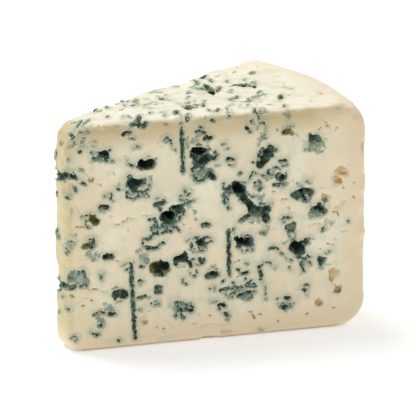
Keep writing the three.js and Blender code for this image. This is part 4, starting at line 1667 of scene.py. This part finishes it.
paste_made = place_group(
    paste, Place=place, Below_skin=read("skin"), From_rind=read("rind"), From_tip=read("tip"))
pits_made = place_group(
    bare, Place=place, Bare=read("bare"), Crack=read("crack"), Hollow=read("hollow"),
    Under=paste_made["Colour"])
mould_made = place_group(
    mould, Place=place, Mould=read("mould"), Gap=read("gap"), Track=read("track"),
    Haze=read("haze"), Olive=read("olive"), Bare=read("bare"), Clean=read("clean"),
    Thin_gap=read("thin_gap"), Hollow=read("hollow"), Paste=pits_made["Colour"])
feed(tree, shader.inputs["Base Color"], mould_made["Colour"])
paste_roughness = 0.5
mould_adds = 0.35
roughness = plus(tree, times(tree, mould_made["Mask"], mould_adds), paste_roughness)
feed(tree, shader.inputs["Roughness"], roughness)
shader.inputs["Subsurface Weight"].default_value = 0.25
shader.inputs["Subsurface Radius"].default_value = (1.0, 0.72, 0.42)
shader.inputs["Subsurface Scale"].default_value = 1.1 * MM
shader.inputs["Specular IOR Level"].default_value = 0.35

grain = cloud(tree, place, 0.8, 3)
drag = cloud(tree, place, 1.1, 2, (1, 1, 0.05))
height = plus(tree, grain, times(tree, drag, 0.35))
bump = tree.nodes.new("ShaderNodeBump")
bump.inputs["Distance"].default_value = 0.32 * MM
bump.inputs["Strength"].default_value = 0.6
feed(tree, bump.inputs["Height"], height)
feed(tree, shader.inputs["Normal"], bump.outputs["Normal"])
cheese.data.materials.clear()
cheese.data.materials.append(finish)
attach(cheese, "root")
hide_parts("cheese_wedge")
print("material nodes:", len(tree.nodes))

# %% [markdown]
# # Floor and light
# The wedge stands on a plain pale floor under one very large, soft light, high and a little behind it
# to the left. The top is therefore brightest, the front is lit mostly by the floor and the room, and
# the shadow is faint and falls forwards and to the right. The floor glows a little, so that it stays
# nearly white under this light.

# %% Floor
bpy.ops.object.select_all(action="DESELECT")
bpy.ops.mesh.primitive_circle_add(vertices=64, radius=6, fill_type="NGON", location=(0, 0, low.z))
floor = bpy.context.object
floor.name = "floor"
floor_finish = bpy.data.materials.new("floor")
floor_finish.use_nodes = True
floor_look = {
    "Base Color": (0.9, 0.9, 0.9, 1), "Roughness": 0.9, "Specular IOR Level": 0.1,
    "Emission Color": (1, 1, 1, 1), "Emission Strength": 0.36,
}
for name, value in floor_look.items():
    floor_finish.node_tree.nodes["Principled BSDF"].inputs[name].default_value = value
floor.data.materials.append(floor_finish)
print("floor at", round(floor.location.z, 4))

# %% Lights
room_light = 0.56
world = bpy.data.worlds.new("room")
world.use_nodes = True
world.node_tree.nodes["Background"].inputs["Color"].default_value = (1, 1, 1, 1)
world.node_tree.nodes["Background"].inputs["Strength"].default_value = room_light
bpy.context.scene.world = world


def soft_light(name, size, power, position, target):
    data = bpy.data.lights.new(name, "AREA")
    data.shape = "DISK"
    data.size = size
    data.energy = power
    light = bpy.data.objects.new(name, data)
    bpy.context.scene.collection.objects.link(light)
    light.location = position
    light.rotation_euler = (Vector(target) - Vector(position)).to_track_quat("-Z", "Y").to_euler()


soft_light("overhead", 0.9, 12.5, (-0.35, 0.55, 1.25), (0, 0, 0.05))
bpy.context.scene.view_settings.view_transform = "Standard"
print("lights:", len(bpy.data.lights))
